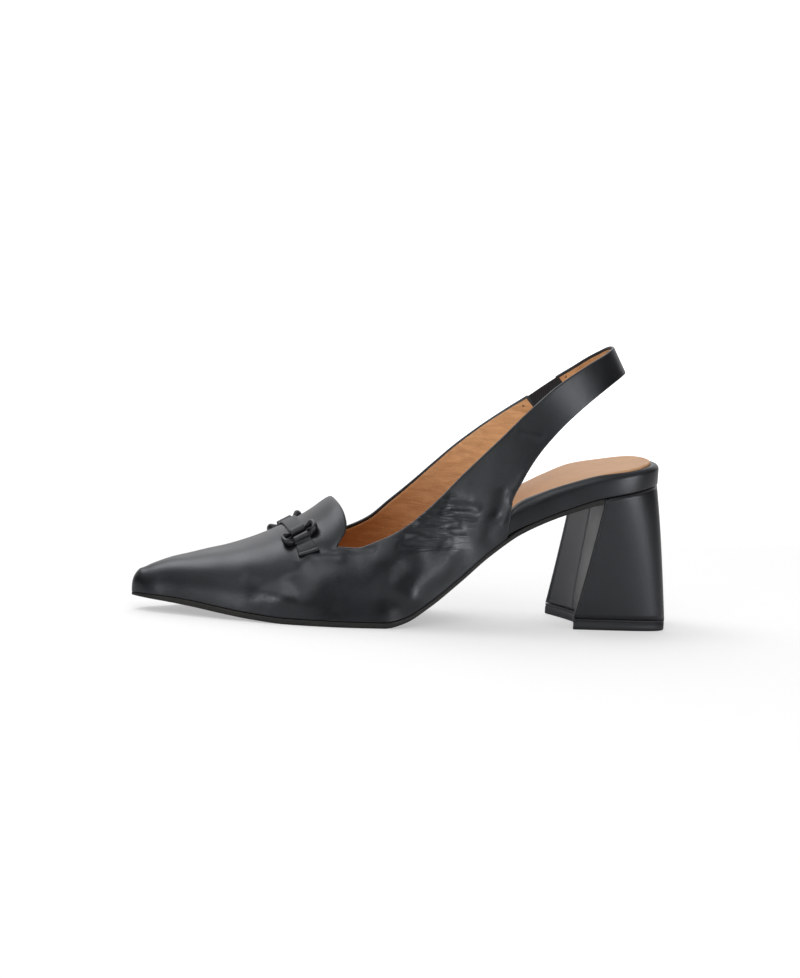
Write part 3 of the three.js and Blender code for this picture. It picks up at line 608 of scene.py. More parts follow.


# Leather: the colour is mixed by the broad patches and, by the fold shade share, by the wrinkles:
# painted shade, darker in their troughs and lighter on their ridges. Where a look gives a deep colour,
# it darkens towards the toe as painted shade inside the shoe; then scuffs lighten it. The grain's
# height makes the bump and the patches part of the roughness.
def leatherMaterial(name, look):
    material, tree, shader, place = startMaterial(name)
    surface = useGroup(tree, leatherGroup, {
        "Vector": place,
        "Grain size": look["grainSize"],
        "Grain depth": look["grainDepth"],
        "Wrinkle depth": look["wrinkleDepth"],
        "Wrinkle stretch": look["wrinkleStretch"],
        "Fold shade": look["foldShade"],
    })
    contrast = spreadValue(tree, surface["Patch and fold shade"], 0.35, 0.65)
    colour = mixColour(tree, contrast, (*look["dark"], 1), (*look["light"], 1))
    # painted shade: the colour darkens towards the toe, deeper inside the shoe, where shade falls
    if look["paintedShadeFrom"] is not None:
        along = addNode(tree, "ShaderNodeSeparateXYZ", {0: place}).outputs["X"]
        depth = spreadValue(tree, along, look["paintedShadeFrom"], look["paintedShadeTo"])
        colour = mixColour(tree, depth, colour, (*look["deep"], 1))
    scuff = useGroup(tree, scuffGroup, {"Vector": place, "Amount": look["scuff"]})
    lowest, highest = look["roughness"] - 0.05, look["roughness"] + 0.06
    folded = None
    if look["wrinklePlace"] is not None:
        oval = {"Vector": place, "Place": look["wrinklePlace"], "Reach": look["wrinkleReach"]}
        wrinkles = useGroup(tree, wrinkleGroup, oval)
        folded = bumpNormal(tree, wrinkles["Height"], look["wrinkleRelief"], 0.0006)
    setInputs(tree, shader, {
        "Base Color": mixColour(tree, scuff["Mask"], colour, (*look["worn"], 1)),
        "Roughness": spreadValue(tree, surface["Patch and fold shade"], 0.3, 0.7, lowest, highest),
        "Normal": bumpNormal(tree, surface["Height"], look["relief"], 0.0002, folded),
        "Specular IOR Level": look["gloss"],
        "Specular Tint": (*look["tint"], 1),
        "Coat Weight": look["coat"],
        "Coat Roughness": look["coatRoughness"],
    })
    return material


blackLook = {
    "dark": (0.003, 0.0032, 0.0045),
    "light": (0.005, 0.0053, 0.007),
    "worn": (0.026, 0.027, 0.032),
    "paintedShadeFrom": None,
    "grainSize": 0.0006,
    "grainDepth": 0.7,
    "wrinkleDepth": 0.7,
    "wrinkleStretch": (0.5, 0.6, 1.6),
    "foldShade": 0.0,
    "tint": (0.9, 0.94, 1.0),
    "wrinklePlace": None,
    "scuff": 0.2,
    "roughness": 0.33,
    "relief": 0.2,
    "gloss": 0.6,
    "coat": 0.08,
    "coatRoughness": 0.3,
}
foldedLook = dict(
    blackLook, wrinklePlace=(0.006, -0.03, 0.047), wrinkleReach=(0.024, 0.05, 0.019), wrinkleRelief=0.42,
)
wrapLook = dict(blackLook, roughness=0.36, wrinkleDepth=0.25, wrinkleStretch=(1, 1, 1), scuff=0.12)
bandLook = dict(blackLook, roughness=0.46, wrinkleDepth=0.3, wrinkleStretch=(1, 1, 1), relief=0.3, scuff=0.3)
# The tab is the band's leather in a darker copy: painted shade, as it faces down
shadedTabLook = dict(bandLook, roughness=0.34, dark=(0.002, 0.002, 0.003), light=(0.004, 0.004, 0.0055), gloss=0.45)
liningLook = {
    "dark": (0.54, 0.26, 0.1),
    "light": (0.74, 0.385, 0.17),
    "worn": (0.62, 0.36, 0.2),
    # painted shade: deep is the colour the lining darkens to towards the toe, inside the shoe
    "deep": (0.42, 0.13, 0.02),
    "paintedShadeFrom": 0.035,
    "paintedShadeTo": -0.04,
    "grainSize": 0.0009,
    "grainDepth": 0.5,
    "wrinkleDepth": 2.4,
    "wrinkleStretch": (0.45, 1.0, 1.9),
    # painted shade: the colour follows the wrinkles, darker in their troughs and lighter on their ridges
    "foldShade": 0.75,
    "tint": (1, 1, 1),
    "wrinklePlace": None,
    "scuff": 0.25,
    "roughness": 0.5,
    "relief": 0.7,
    "gloss": 0.4,
    "coat": 0.0,
    "coatRoughness": 0.4,
}
insoleLook = dict(
    liningLook,
    dark=(0.52, 0.29, 0.15), light=(0.62, 0.35, 0.18), worn=(0.7, 0.45, 0.27),
    # painted shade: the insole darkens from the seat towards the toe, under the vamp
    deep=(0.33, 0.13, 0.045), paintedShadeFrom=0.085, paintedShadeTo=-0.02,
    wrinkleDepth=0.5, wrinkleStretch=(0.5, 1.2, 1.0), roughness=0.55, relief=0.25,
)
soleLook = dict(
    blackLook,
    dark=(0.008, 0.0075, 0.006), light=(0.016, 0.0145, 0.011), worn=(0.07, 0.06, 0.04),
    roughness=0.55, grainSize=0.0004, wrinkleDepth=0.2, relief=0.3, scuff=0.35, gloss=0.4,
)
liftLook = dict(
    blackLook,
    dark=(0.006, 0.006, 0.0065), light=(0.009, 0.009, 0.0095),
    roughness=0.5, grainSize=0.0003, grainDepth=0.4, wrinkleDepth=0.15, coat=0.0, scuff=0.15,
)
ringLook = dict(
    blackLook,
    dark=(0.0065, 0.0065, 0.0075), light=(0.009, 0.009, 0.0105),
    roughness=0.36, grainSize=0.0004, grainDepth=0.35, wrinkleDepth=0.1, scuff=0.15, coat=0.25,
)
# near-black hole colour: partly the dark leather behind the lining, partly painted shade inside the hole
holeBackingAndShadeLook = dict(liningLook, dark=(0.03, 0.012, 0.005), light=(0.05, 0.02, 0.008), paintedShadeFrom=None, scuff=0.0)
blackLeather = leatherMaterial("black leather", foldedLook)
wrapLeather = leatherMaterial("wrapped leather", wrapLook)
bandLeather = leatherMaterial("band leather", bandLook)
shadedTabLeather = leatherMaterial("tab leather in painted shade", shadedTabLook)
lining = leatherMaterial("tan lining", liningLook)
insoleLeather = leatherMaterial("tan insole", insoleLook)
holeBackingAndShade = leatherMaterial("pinhole", holeBackingAndShadeLook)
soleLeather = leatherMaterial("sole leather", soleLook)
liftRubber = leatherMaterial("lift rubber", liftLook)
ringCoat = leatherMaterial("coated ring", ringLook)

elasticLook = {"colour": (0.014, 0.014, 0.017), "ribSize": 0.0009, "roughness": 0.75, "relief": 0.7}


# Elastic: one dark colour, its ribs and threads from the weave group
def elasticMaterial():
    material, tree, shader, place = startMaterial("woven elastic")
    weave = useGroup(tree, weaveGroup, {"Vector": place, "Rib size": elasticLook["ribSize"]})
    setInputs(tree, shader, {
        "Base Color": (*elasticLook["colour"], 1),
        "Roughness": elasticLook["roughness"],
        "Normal": bumpNormal(tree, weave["Height"], elasticLook["relief"], 0.0002),
    })
    return material


wovenElastic = elasticMaterial()
print("materials made")

# Creases of the upper, seen from the outer side: ends (x, z), width, height (a trough is negative)
creases = [
    ((133, 58.2), (144, 56), 1.7, 0.3),
    ((130, 52.2), (148, 50.4), 1.7, 0.42),
    ((125, 49.4), (134, 46.8), 1.7, 0.32),
    ((119.5, 44.9), (142.5, 43), 1.8, 0.42),
    ((114.5, 40), (134, 39.8), 1.8, 0.36),
    ((165, 89), (176, 86.5), 1.8, 0.14),
    ((134, 55.4), (148, 53.6), 1.7, -0.28),
    ((118, 47.3), (140, 46.2), 1.7, -0.32),
    ((114, 42.6), (135, 41.4), 1.7, -0.3),
    ((112, 37), (130, 36.8), 1.8, -0.35),
    ((160, 62), (156.2, 48.4), 3.0, 0.34),
    ((157, 51), (152, 39), 3.2, 0.34),
    ((167.5, 71), (162.3, 57), 1.6, -0.18),
    ((163.2, 60), (160.6, 47), 1.6, -0.18),
    ((116, 13), (140, 36.5), 6.5, 1.1),
    ((106, 7), (121, 13), 4.0, 0.4),
    ((68.5, 25.5), (75.5, 31), 2.4, 0.45),
    ((73, 31), (88, 29.6), 2.6, 0.45),
    ((74, 33.6), (88, 33.2), 1.5, -0.35),
    ((84, 33), (102, 34.6), 1.7, -0.3),
    ((80, 12.4), (112, 12), 7.5, -1.1),
    ((48, 9.6), (64, 14), 5.0, 0.7),
    ((58, 11.5), (72, 8.6), 4.5, 0.35),
    ((50, 14.8), (71, 23.8), 3.6, 0.45),
    ((47, 18.6), (68, 18), 3.4, -0.35),
    ((100, 27.5), (124, 30.5), 6.0, 0.5),
    ((110, 21), (119, 31), 5.0, -0.5),
]


# Rounding of the nose seen from the side: point (x, z), width, height
noseShape = [((0.5, 13), 4.0, 0.45), ((3.9, 19.4), 3.4, -0.3)]
creaseSide = {"start": 4, "width": 12}
innerFolds = {"count": 6, "height": 0.7, "width": 1.3, "reach": 8, "shift": (3, 1), "across": (0.99, -0.15)}


# Each crease: its height times exp(-(distance to its line / width)^2), fading to nothing at both
# ends; a gentle wave over the whole side keeps the lines from being straight. The first few come
# back on the inner side, softer.
def relief(points):
    total = np.zeros(len(points))
    onOuter = ease((-points[:, 1] - creaseSide["start"]) / creaseSide["width"])
    onInner = ease((points[:, 1] - creaseSide["start"]) / creaseSide["width"])
    x, z = points[:, 0], points[:, 2]
    place = np.stack([x + 0.5 * np.sin(z / 2.3), z + 0.45 * np.sin(x / 2.9) + 0.2 * np.sin(x / 1.3)], 1)
    for start, end, width, height in creases:
        start, end = np.array(start, float), np.array(end, float)
        run = end - start
        length = np.linalg.norm(run)
        share = (place - start) @ run / length**2
        inside = np.clip(share, 0, 1)
        away = np.linalg.norm(place - start - inside[:, None] * run, axis=1)
        fade = ease((0.5 - np.abs(share - 0.5)) * length / (1.6 * width) + 0.6)
        total += height * bump(away, width) * fade * onOuter
    run = np.array(innerFolds["across"])
    for start, end, width, height in creases[:innerFolds["count"]]:
        mid = (np.array(start, float) + end) / 2 + innerFolds["shift"]
        away, across = (place - mid) @ np.array([-run[1], run[0]]), (place - mid) @ run
        shape = bump(away, width * innerFolds["width"]) * bump(across, innerFolds["reach"])
        total += innerFolds["height"] * height * shape * onInner
    for start, width, height in noseShape:
        total += height * bump(np.linalg.norm(points[:, [0, 2]] - start, axis=1), width)
    return total


# The upper's nets: vamp, tongue, outer side, inner quarter and the strap's inner end. The recess
# keeps them that far inside the collar, the tongue's edge and the strap's edges.
def upperNets(vampColumns, sideRows, tongueRows, stepsPerRib, tongueColumns, recess=0.0):
    rows = np.concatenate([
        np.linspace(0, notchAngle, sideRows + 1)[:-1],
        np.linspace(notchAngle, np.pi - notchAngle, tongueRows + 1),
        np.linspace(np.pi - notchAngle, np.pi, sideRows + 1)[1:],
    ])
    columns = notchX * (1 - np.cos(np.linspace(0, np.pi / 2, vampColumns + 1)))
    vamp = vampPoint(columns[:, None], rows[None, :])
    middle = rows[sideRows:sideRows + tongueRows + 1]
    fromNotch = 1 - np.abs(1 - 2 * np.arange(tongueRows + 1) / tongueRows)
    reach = np.maximum(0, tongueReach * read(tongueEdge, 1, fromNotch) - recess * ease(fromNotch / 0.2))
    steps = np.linspace(0, 1, tongueColumns + 1)
    tongue = vampPoint(notchX + steps[:, None] * reach[None, :], middle[None, :])

    def side(which, start, end):
        cut = recess / 8
        first = start + (cut if start == strapRib else 0)
        last = end - (cut if end == quarterRib else 0)
        ribs = np.linspace(first, last, round((end - start) * stepsPerRib) + 1)
        width = np.linalg.norm(ribPoint(which, ribs, 1.0) - ribPoint(which, ribs, 0.0), axis=1)
        below = np.clip(ribs - cornerRib, 0, 1) * recess / width
        above = 1 - np.clip(ribs, 0, 1) * recess / width
        shares = np.linspace(0, 1, sideRows + 1)
        net = ribPoint(which, ribs[:, None], mix(below[:, None], above[:, None], shares[None, :]))
        if start == 0:
            angles = notchAngle * shares
            offset = vampPoint(notchX, angles if which == outer else np.pi - angles) - net[0]
            net = net + offset * (1 - ease(ribs))[:, None, None]
        return net if which == outer else net[:, ::-1]

    return [
        vamp, tongue, side(outer, 0, backRib), side(inner, 0, quarterRib), side(inner, strapRib, backRib),
    ]


upperLook = {"leatherWall": 1.25, "liningGap": 0.02, "liningWall": 0.55, "liningRecess": 1.0}
points, faces = skin(upperNets(90, 76, 44, 10, 12), 0, upperLook["leatherWall"], relief)
makePiece("upper_leather", points, faces, blackLeather, "black_leather", "upper")
print("upper leather made", len(faces))
nets = upperNets(60, 24, 28, 6, 6, upperLook["liningRecess"])
start = upperLook["leatherWall"] + upperLook["liningGap"]
points, faces = skin(nets, start, upperLook["liningWall"], rounds=3, full=0.4)
makePiece("upper_lining", points, faces, lining, "tan_leather")
print("lining made", len(faces))

# Pinholes in the lining, by rib and share of its height: small cups let into the inner face, coloured
# near black for the leather behind each hole and painted shade inside it; a cup's rows are its share
# of the radius and its height over the lining
pinholes = {
    "radius": 0.45, "above": 0.03, "places": [(quarterRib - 0.42, 0.78), (strapRib + 0.42, 0.84)],
    "cup": [(1.25, -0.06), (1.15, 0.05), (1.0, 0.05), (0.8, 0.0), (0.3, -0.02)],
}
turn = np.linspace(0, 2 * np.pi, 24, endpoint=False)
for number, (rib, share) in enumerate(pinholes["places"]):
    centre = ribPoint(inner, rib, share)
    ahead = ribPoint(inner, rib + 0.1, share) - ribPoint(inner, rib - 0.1, share)
    rising = ribPoint(inner, rib, share + 0.1) - ribPoint(inner, rib, share - 0.1)
    inward = np.cross(ahead, rising)
    inward *= -np.sign(inward[1]) / np.linalg.norm(inward)
    ahead /= np.linalg.norm(ahead)
    rising = np.cross(inward, ahead)
    circle = ahead * np.cos(turn)[:, None] + rising * np.sin(turn)[:, None]
    face = centre + inward * (shoe["wall"] + pinholes["above"])
    loops = [face + inward * up + circle * pinholes["radius"] * size for size, up in pinholes["cup"]]
    points, faces = loft(loops)
    makePiece("pinhole_%d" % number, points, faces, holeBackingAndShade, "tan_leather")

# Footbed, insole and outsole
bed = {
    "rampFrom": 0.4661, "rampRim": 0.508, "rampTo": 0.656, "rimHeight": 9.2,
    "swellFrom": 0.6756, "swellTo": 0.7456, "tuckTo": 0.6976, "tuck": 0.8,
    "insoleFrom": 0.042, "insoleThickness": 1.4, "insoleReveal": 1.3, "insoleBack": 4.2,
    "rimRound": 2.4, "cup": 0.9, "cupAt": 0.88, "cupReach": 0.09, "cupFlat": 1.2,
    "lip": 3.4, "lipFrom": 0.64, "lipTo": 0.7, "lipFade": 0.95, "lipCover": 1.6,
}
gap = shoe["clearance"]


# Underside of the insole: the sole plus the footbed's ramp, which eases in from the ball
def insoleUnder(x):
    share = ease((x / long - bed["rampFrom"]) / (bed["rampTo"] - bed["rampFrom"]))
    return soleTop(x) + gap + (bed["rimHeight"] + gap) * share


# 0 inside the quarters, 1 behind them
def behindQuarters(x):
    return ease((x / long - bed["swellFrom"]) / (bed["swellTo"] - bed["swellFrom"]))


# The seat is hollowed for the heel: a shallow bowl, deepest in the middle
def seatDish(x, share):
    return bed["cup"] * bump(x / long - bed["cupAt"], bed["cupReach"]) * (1 - share**2) ** bed["cupFlat"]


# The wrap stands up beside the insole on the outer side, most at the waist and fading to the back
def rimLip(x):
    rise = ease((x / long - bed["lipFrom"]) / (bed["lipTo"] - bed["lipFrom"]))
    return bed["lip"] * rise * np.clip((bed["lipFade"] - x / long) / (bed["lipFade"] - bed["lipTo"]), 0, 1)


points, faces = slab(
    spread(bed["rampRim"] * long, shoe["seatEnd"] * long, 90),
    lambda x, side: halfWidth(x, side, mix(shoe["wall"] + 1.5 * gap, 0, behindQuarters(x))),
    upperFoot, lambda x: insoleUnder(x) - gap, 0.6, bed["rimRound"], lip=rimLip, corner=9,
)
makePiece("wrapped_rim", points, faces, wrapLeather, "black_leather", "footbed_rim")
points, faces = slab(
    spread(bed["insoleFrom"] * long, shoe["seatEnd"] * long - bed["insoleBack"], 130),
    lambda x, side: halfWidth(
        x, side,
        mix(shoe["wall"] + 2 * gap, bed["insoleReveal"], behindQuarters(x))
        + (side == outer) * bed["lipCover"] * rimLip(x) / bed["lip"],
        bed["insoleBack"],
    ),
    insoleUnder, lambda x: insoleUnder(x) + bed["insoleThickness"], 0.2, 0.6, dish=seatDish,
)
makePiece("insole_sock", points, faces, insoleLeather, "tan_leather", "insole")


# Outsole: the sole's outline, tucked in a little behind the quarters
def outsoleHalf(x, side):
    share = ease((x / long - shoe["quarterEnd"]) / (bed["tuckTo"] - shoe["quarterEnd"]))
    return np.maximum(0, halfWidth(x, side) - bed["tuck"] * share)


stations = spread(0, shoe["seatStart"] * long + shoe["heelSetback"] - gap, 120)
points, faces = slab(stations, outsoleHalf, soleUnder, soleTop, 0.7, 0.35, across=15)
makePiece("outsole_edge", points, faces, soleLeather, "sole_leather", "outsole")
print("soles made")

# Heel and top lift
heel = {
    "lift": 4.9, "width": 46, "length": 46.3, "fold": 6.4, "foldTop": 1.7, "foldRound": 1.3,
    "floorSquare": 6, "breastSweep": 1.1, "backSweep": 1, "tuck": 0.7,
    "wrap": 0.8, "wrapSoft": 0.3, "welt": 0.12, "line": 0.3, "lineWidth": 0.22, "weltPart": 0.07,
    "step": 0.3, "seam": 0.35, "seamWidth": 0.012,
}


# Plan of the heel at a height share, as in the frame. Detail adds the step where the flank's
# leather ends on the breast, the welt along the flank's front and the seam in the breast's fold;
# inset moves all of it in.
def heelLoop(share, heightAt, inset=0.0, detail=1.0, turns=36, across=61):
    down = (1 - share) ** heel["backSweep"]
    seatFront = shoe["seatStart"] * long + shoe["heelSetback"]
    front = mix(seatFront, long - heel["length"], (1 - share) ** heel["breastSweep"]) + inset
    back = mix(shoe["seatEnd"] * long - gap, long, down) - inset
    square = mix(shoe["seatPower"], heel["floorSquare"], down)
    fold = mix(heel["fold"], heel["foldTop"], np.sqrt(share))
    seat = {side: halfWidth(shoe["seatStart"] * long, side) - heel["tuck"] for side in (outer, inner)}
    half = {side: mix(heel["width"] / 2, seat[side], share) - inset for side in seat}
    far = np.sin(np.linspace(0, np.pi / 2, turns + 1)) ** (2 / square)
    near = np.linspace(0, heel["weltPart"], 15)[:-1]
    places = np.concatenate([near, mix(heel["weltPart"], 1, far)])
    x = mix(front, back, places)
    past = x - front - heel["wrap"]
    welt = ease((x - front) / heel["wrapSoft"]) * (1 - ease(past / heel["wrapSoft"]))
    line = bump(past - heel["wrapSoft"], heel["lineWidth"])
    raised = detail * (heel["welt"] * welt - heel["line"] * line)
    flank = {side: np.maximum(0, 1 - places**square) ** (1 / square) * half[side] + raised for side in half}
    place = np.linspace(1, 0, across)[1:-1]
    y = mix(-half[outer], half[inner], place)
    depth = fold * (1 - np.abs(2 * place - 1) ** heel["foldRound"])
    fromEdge = np.minimum(y + half[outer], half[inner] - y)
    depth += detail * heel["step"] * ease((fromEdge - heel["wrap"]) / heel["wrapSoft"])
    depth += detail * heel["seam"] * bump(place - 0.5, heel["seamWidth"])
    plan = np.concatenate([
        np.stack([x, -flank[outer]], 1),
        np.stack([x, flank[inner]], 1)[::-1][1:],
        np.stack([front + depth, y], 1),
    ])
    return np.column_stack([plan, heightAt(plan[:, 0])])


base = heel["lift"] + gap
levels = np.linspace(0, 1, 30)
points, faces = loft([
    heelLoop(s, lambda x: mix(base, upperFoot(x) - 1.5 * gap, s)) for s in levels
])
makePiece("heel_block", points, faces, wrapLeather, "black_leather", "heel")
# Rows of the top lift: height and inset; the groove near its top is the line of a second layer
liftRows = [
    (0, 0.5), (0.15, 0.2), (0.45, 0), (3.5, 0), (3.62, 0.22), (3.95, 0.22), (4.07, 0.02),
    (4.75, 0.02), (heel["lift"], 0.15),
]
points, faces = loft([heelLoop(0, lambda x, z=z: z + 0 * x, inset, 0) for z, inset in liftRows])
makePiece("top_lift", points, faces, liftRubber, "black_rubber", "heel_lift")
print("heel made")

# Band, rings and tabs
trim = {
    "bandAlong": 0.2835, "bandSwing": 0.6, "ringLength": 13.6, "ringWidth": 5.5, "ringTube": 3.8,
    "railTube": 1.8, "ringAcross": 18.2, "bandWidth": 7, "bandThickness": 0.9, "tabWidth": 9.4,
    "tabEnd": 30.4, "tabSkew": 2.5, "ringSquareness": 3.4, "ringSlim": 0.6, "wrapUnder": 22,
}
bandX = trim["bandAlong"] * long
crestSlope = float(crestHeight(bandX + 1) - crestHeight(bandX - 1)) / 2
railHeight = trim["railTube"] / 2 + gap
wrapRadius = (trim["railTube"] + trim["bandThickness"]) / 2 + 1.2 * gap
flatHeight = gap + trim["bandThickness"] / 2


# Angle on the vamp at a distance from the crest, stepped along the half ellipse
def angleAcross(x, across):
    width = np.where(across > 0, halfWidth(x, outer), halfWidth(x, inner))
    rise = crestHeight(x) - upperFoot(x)
    angle = np.full(np.shape(across), np.pi / 2)
    for _ in range(20):
        angle = angle - across / 20 / np.hypot(width * np.sin(angle), rise * np.cos(angle))
    return angle


# Places on the vamp: along the crest, across from it and above the leather
def onVamp(along, across, above):
    along, across, above = np.broadcast_arrays(along, across, above)
    start = bandX + along / np.hypot(1, crestSlope)
    drop = crestHeight(start) - vampPoint(start, angleAcross(start, across))[..., 2]
    x = start + drop * crestSlope * trim["bandSwing"]
    angle = angleAcross(x, across)
    ahead = vampPoint(x + 0.05, angle) - vampPoint(x - 0.05, angle)
    turned = vampPoint(x, angle + 0.005) - vampPoint(x, angle - 0.005)
    normal = np.cross(ahead, turned)
    normal /= np.linalg.norm(normal, axis=-1)[..., None]
    return vampPoint(x, angle) + normal * above[..., None]


# Ring: an oval tube, thin at the rails and thick at the ends
def ring(hand, around=120, sides=20):
    def line(turn):
        c, s = np.cos(turn), np.sin(turn)
        power = 2 / trim["ringSquareness"]
        oval = np.stack([np.sign(c) * np.abs(c) ** power, np.sign(s) * np.abs(s) ** power], -1)
        grown = trim["ringTube"] / 2 * (1 - trim["ringSlim"])
        return oval * (trim["ringLength"] / 2 + grown, trim["ringWidth"] / 2)

    turn = 2 * np.pi * (np.arange(around) + 0.5) / around
    middle = line(turn)
    run = line(turn + 0.02) - line(turn - 0.02)
    run /= np.linalg.norm(run, axis=1)[:, None]
    pastBand = 2 * np.abs(middle[:, 0]) - trim["bandWidth"]
    nearEnd = ease(pastBand / (trim["ringLength"] - trim["bandWidth"]))
    radius = mix(trim["railTube"], trim["ringTube"], nearEnd)[:, None] / 2
    angle = (2 * np.pi * np.arange(sides) / sides)[None, :]
    out = radius * np.cos(angle) * mix(1, trim["ringSlim"], nearEnd)[:, None]
    along = middle[:, :1] + out * run[:, 1:]
    across = trim["ringAcross"] + middle[:, 1:] - out * run[:, :1]
    points, faces = loft(onVamp(along, hand * across, gap + radius * (1 + np.sin(angle))), closed=True)
    return points, faces if hand < 0 else faces[:, ::-1]


# A strip along a line in the across and above directions; its section is a rounded rectangle and
# thick varies its thickness along it.
def strip(line, widthAt, skewAt, thick):
    line = np.asarray(line)
    run = np.gradient(line, axis=0)
    run /= np.linalg.norm(run, axis=1)[:, None]
    side = np.stack([-run[:, 1], run[:, 0]], 1)
    turn = np.linspace(0, 2 * np.pi, 36, endpoint=False)
    c, s = np.cos(turn), np.sin(turn)
    wide = np.sign(c) * np.abs(c) ** 0.16 / 2
    high = np.sign(s) * np.abs(s) ** 0.55 / 2
    loops = []
    for (across, above), normal, t in zip(line, side, np.linspace(0, 1, len(line))):
        h = high * trim["bandThickness"] * thick(across)
        a = across + normal[0] * h + wide * skewAt(across)
        loops.append(onVamp(wide * widthAt(across), a, above + normal[1] * h))
    return loft(loops)


# The part of a strip's line that wraps a rail, from one angle to another
def wrapAround(rail, start, end, count=16):
    angle = np.radians(np.linspace(start, end, count))
    return np.stack([rail + wrapRadius * np.cos(angle), railHeight + wrapRadius * np.sin(angle)], 1)


# Half of the band: flat over the crest, then around the inner rail
rail = trim["ringAcross"] - trim["ringWidth"] / 2
wrap = wrapAround(rail, 150, -trim["wrapUnder"])
flatPart = np.stack([np.linspace(0, wrap[0, 0] - 1.6, 14), np.full(14, flatHeight)], 1)
half = np.concatenate([flatPart, wrap])
whole = np.concatenate([half[:0:-1] * (-1, 1), half])
points, faces = strip(whole, lambda a: trim["bandWidth"], lambda a: 0.0, lambda a: 1.0)
makePiece("crest_band", points, faces, bandLeather, "black_leather", "band")


# Tab: around the outer rail, then down the leather, with a turned hem at its end
def tab(hand):
    rail = trim["ringAcross"] + trim["ringWidth"] / 2
    wrap = wrapAround(rail, 180 + trim["wrapUnder"], 30)
    down = np.stack([np.linspace(wrap[-1, 0] + 1.2, trim["tabEnd"], 30), np.full(30, flatHeight)], 1)
    line = np.concatenate([wrap, down]) * (hand, 1)
    if hand < 0:
        line = line[::-1]
    share = lambda a: np.clip((abs(a) - rail) / (trim["tabEnd"] - rail), 0, 1)
    fromEnd = lambda a: trim["tabEnd"] - abs(a)
    return strip(
        line,
        lambda a: mix(trim["bandWidth"], trim["tabWidth"], share(a)),
        lambda a: hand * trim["tabSkew"] * share(a),
        lambda a: 1 + 0.35 * ease((2.2 - fromEnd(a)) / 0.5) - 0.45 * bump(fromEnd(a) - 1.7, 0.3),
    )


for hand, which in ((1, "outer"), (-1, "inner")):
    points, faces = ring(hand)
    makePiece("oval_ring_" + which, points, faces, ringCoat, "black_metal", "ring_" + which)
    points, faces = tab(hand)
    makePiece("hem_tab_" + which, points, faces, shadedTabLeather, "black_leather", "tab_" + which)
print("trim made")

# Elastic between quarter and strap, its edges thinner than its middle
elastic = {"thickness": 1.0, "inset": 0.3, "columns": 60, "rows": 24}
ribs = np.linspace(quarterRib, strapRib, elastic["columns"])
low, high = ribPoint(inner, ribs, 0.0), ribPoint(inner, ribs, 1.0)
width = np.linalg.norm(high - low, axis=1)[:, None]
margin = elastic["inset"] / width
share = mix(margin, 1 - margin, np.linspace(0, 1, elastic["rows"])[None, :])
run = ribPoint(inner, strapRib, 0.5) - ribPoint(inner, quarterRib, 0.5)
run /= np.linalg.norm(run)
inward = np.array([-run[1], run[0], 0]) / np.hypot(run[0], run[1])
net = low[:, None] + (high - low)[:, None] * share[..., None]
net = net + run * mix(gap, -gap, np.linspace(0, 1, elastic["columns"]))[:, None, None]
net = net - inward * (shoe["wall"] - elastic["thickness"]) / 2
points, faces = skin([net[:, ::-1]], 0, elastic["thickness"], rounds=4)
makePiece("elastic_strip", points, faces, wovenElastic, "black_elastic", "elastic")
print("elastic made")

# Floor: a sheet that curves up behind the shoe. It glows softly, more for the camera than for the
# shoe: the camera's share rises with y, the shoe's with z.
stage = {
    "near": -0.75, "bend": 1.1, "radius": 0.9, "height": 2.4, "half": 3.0, "colour": (0.6, 0.6, 0.6),
    "glow": 0.32, "backGlow": 0.92, "glowFrom": 0.3, "glowTo": 1.1,
    "bounce": 0.1, "farGlow": 0.9, "bounceFrom": 0.15, "bounceTo": 0.9,
}
turn = np.linspace(0, np.pi / 2, 24)
profile = np.concatenate([
    [[stage["near"], 0]],
    np.stack([stage["bend"] + stage["radius"] * np.sin(turn), stage["radius"] * (1 - np.cos(turn))], 1),
    [[stage["bend"] + stage["radius"], stage["height"]]],
])
mesh = bpy.data.meshes.new("floor")
corners = [(s * stage["half"], y, z) for y, z in profile for s in (-1, 1)]
mesh.from_pydata(corners, [], [(2 * i, 2 * i + 1, 2 * i + 3, 2 * i + 2) for i in range(len(profile) - 1)])
mesh.polygons.foreach_set("use_smooth", np.ones(len(mesh.polygons), bool))
floor = bpy.data.objects.new("floor", mesh)
bpy.context.scene.collection.objects.link(floor)
paper, tree, shader, place = startMaterial("paper")
parts = addNode(tree, "ShaderNodeSeparateXYZ", {0: place})
seen = addNode(tree, "ShaderNodeLightPath").outputs["Is Camera Ray"]
level = spreadValue(
    tree, parts.outputs["Y"], stage["glowFrom"], stage["glowTo"], stage["glow"], stage["backGlow"],
)
high = spreadValue(
    tree, parts.outputs["Z"], stage["bounceFrom"], stage["bounceTo"], stage["bounce"], stage["farGlow"],
)
setInputs(tree, shader, {
    "Base Color": (*stage["colour"], 1),
    "Roughness": 0.9,
    "Specular IOR Level": 0.1,
    "Emission Color": (1, 1, 1, 1),
    "Emission Strength": maths(tree, "MULTIPLY_ADD", seen, level, high),
})
mesh.materials.append(paper)

# Soft studio light: place, target, size and power of each lamp
lamps = [
    ((-0.62, 0.3, 1.35), (0, 0, 0.05), 0.8, 6.5),
    ((0.1, 0.9, 1.3), (0, 0, 0.05), 1.2, 4.5),
    ((-0.3, -1.2, 1.1), (0, 0, 0.05), 0.9, 4.5),
    ((-0.75, -1.05, 0.22), (-0.05, 0, 0.02), 0.3, 2),
    ((0.95, -1.0, 0.16), (0, 0, 0.03), 0.35, 4),
]
for number, (spot, target, size, power) in enumerate(lamps):
    light = bpy.data.lights.new("lamp%d" % number, "AREA")
    light.shape, light.size, light.energy = "DISK", size, power
    lamp = bpy.data.objects.new("lamp%d" % number, light)
    lamp.location = spot
    lamp.rotation_mode = "QUATERNION"
    lamp.rotation_quaternion = (Vector(target) - Vector(spot)).to_track_quat("-Z", "Y")
    bpy.context.scene.collection.objects.link(lamp)

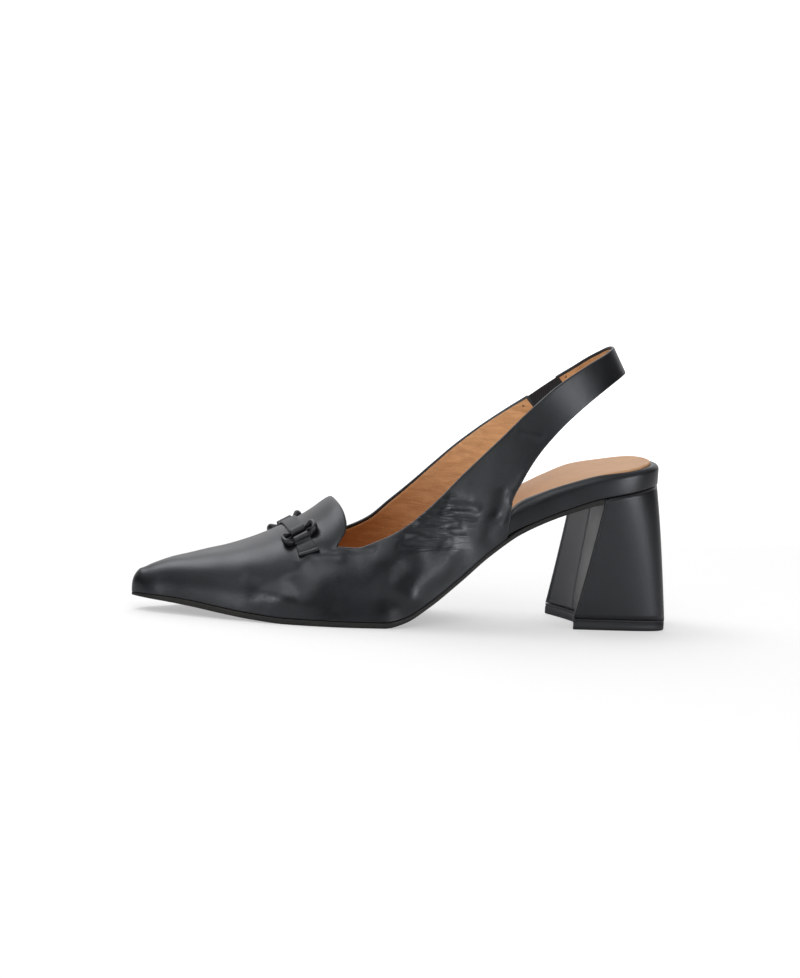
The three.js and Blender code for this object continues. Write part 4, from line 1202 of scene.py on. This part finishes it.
# Surroundings: the shoe sees a room that is dark at the level of the eye and bright above, and the
# backdrop itself is white
sky = [(0.0, 0.12), (0.46, 0.03), (0.55, 0.03), (0.68, 0.1), (0.85, 0.45), (1.0, 0.5)]
world = bpy.data.worlds.new("studio")
bpy.context.scene.world = world
world.use_nodes = True
tree = world.node_tree
ray = addNode(tree, "ShaderNodeTexCoord").outputs["Generated"]
parts = addNode(tree, "ShaderNodeSeparateXYZ", {0: ray})
ramp = addNode(tree, "ShaderNodeValToRGB", {0: spreadValue(tree, parts.outputs["Z"], -1.0, 1.0)})
for number, (at, level) in enumerate(sky):
    stop = ramp.color_ramp.elements[number] if number < 2 else ramp.color_ramp.elements.new(at)
    stop.position, stop.color = at, (level, level, level, 1)
seen = addNode(tree, "ShaderNodeLightPath").outputs["Is Camera Ray"]
shown = mixColour(tree, seen, ramp.outputs[0], (1, 1, 1, 1))
setInputs(tree, tree.nodes["Background"], {"Color": shown})
bpy.context.scene.view_settings.view_transform = "Standard"

# Camera: looks at aim from an angle, rolled, at a distance; the aim falls on a given picture place
view = {
    "azimuth": -13.4, "elevation": 6.06, "roll": 3.75, "distance": 1.2, "aim": (-0.0026, 0, 0.055),
    "pixelsPerMetre": 2219, "aimPixel": (401.2, 495.9), "picture": (800, 978), "sensor": 36,
}
turn, tilt, roll = (np.radians(view[k]) for k in ("azimuth", "elevation", "roll"))
back = np.array([np.sin(turn) * np.cos(tilt), -np.cos(turn) * np.cos(tilt), np.sin(tilt)])
right = np.array([np.cos(turn), np.sin(turn), 0.0])
up = np.cross(back, right)
rolledRight, rolledUp = right * np.cos(roll) + up * np.sin(roll), up * np.cos(roll) - right * np.sin(roll)
eye = np.array(view["aim"]) + back * view["distance"]
camera = bpy.data.objects.new("camera", bpy.data.cameras.new("camera"))
turned = np.eye(4)
turned[:3, 0], turned[:3, 1], turned[:3, 2], turned[:3, 3] = rolledRight, rolledUp, back, eye
camera.matrix_world = Matrix(turned.tolist())
tall = max(view["picture"])
camera.data.sensor_width = view["sensor"]
camera.data.lens = view["pixelsPerMetre"] * view["distance"] * view["sensor"] / tall
camera.data.shift_x = (view["picture"][0] / 2 - view["aimPixel"][0]) / tall
camera.data.shift_y = (view["aimPixel"][1] - view["picture"][1] / 2) / tall
bpy.context.scene.collection.objects.link(camera)
bpy.context.scene.camera = camera
print("stage made")
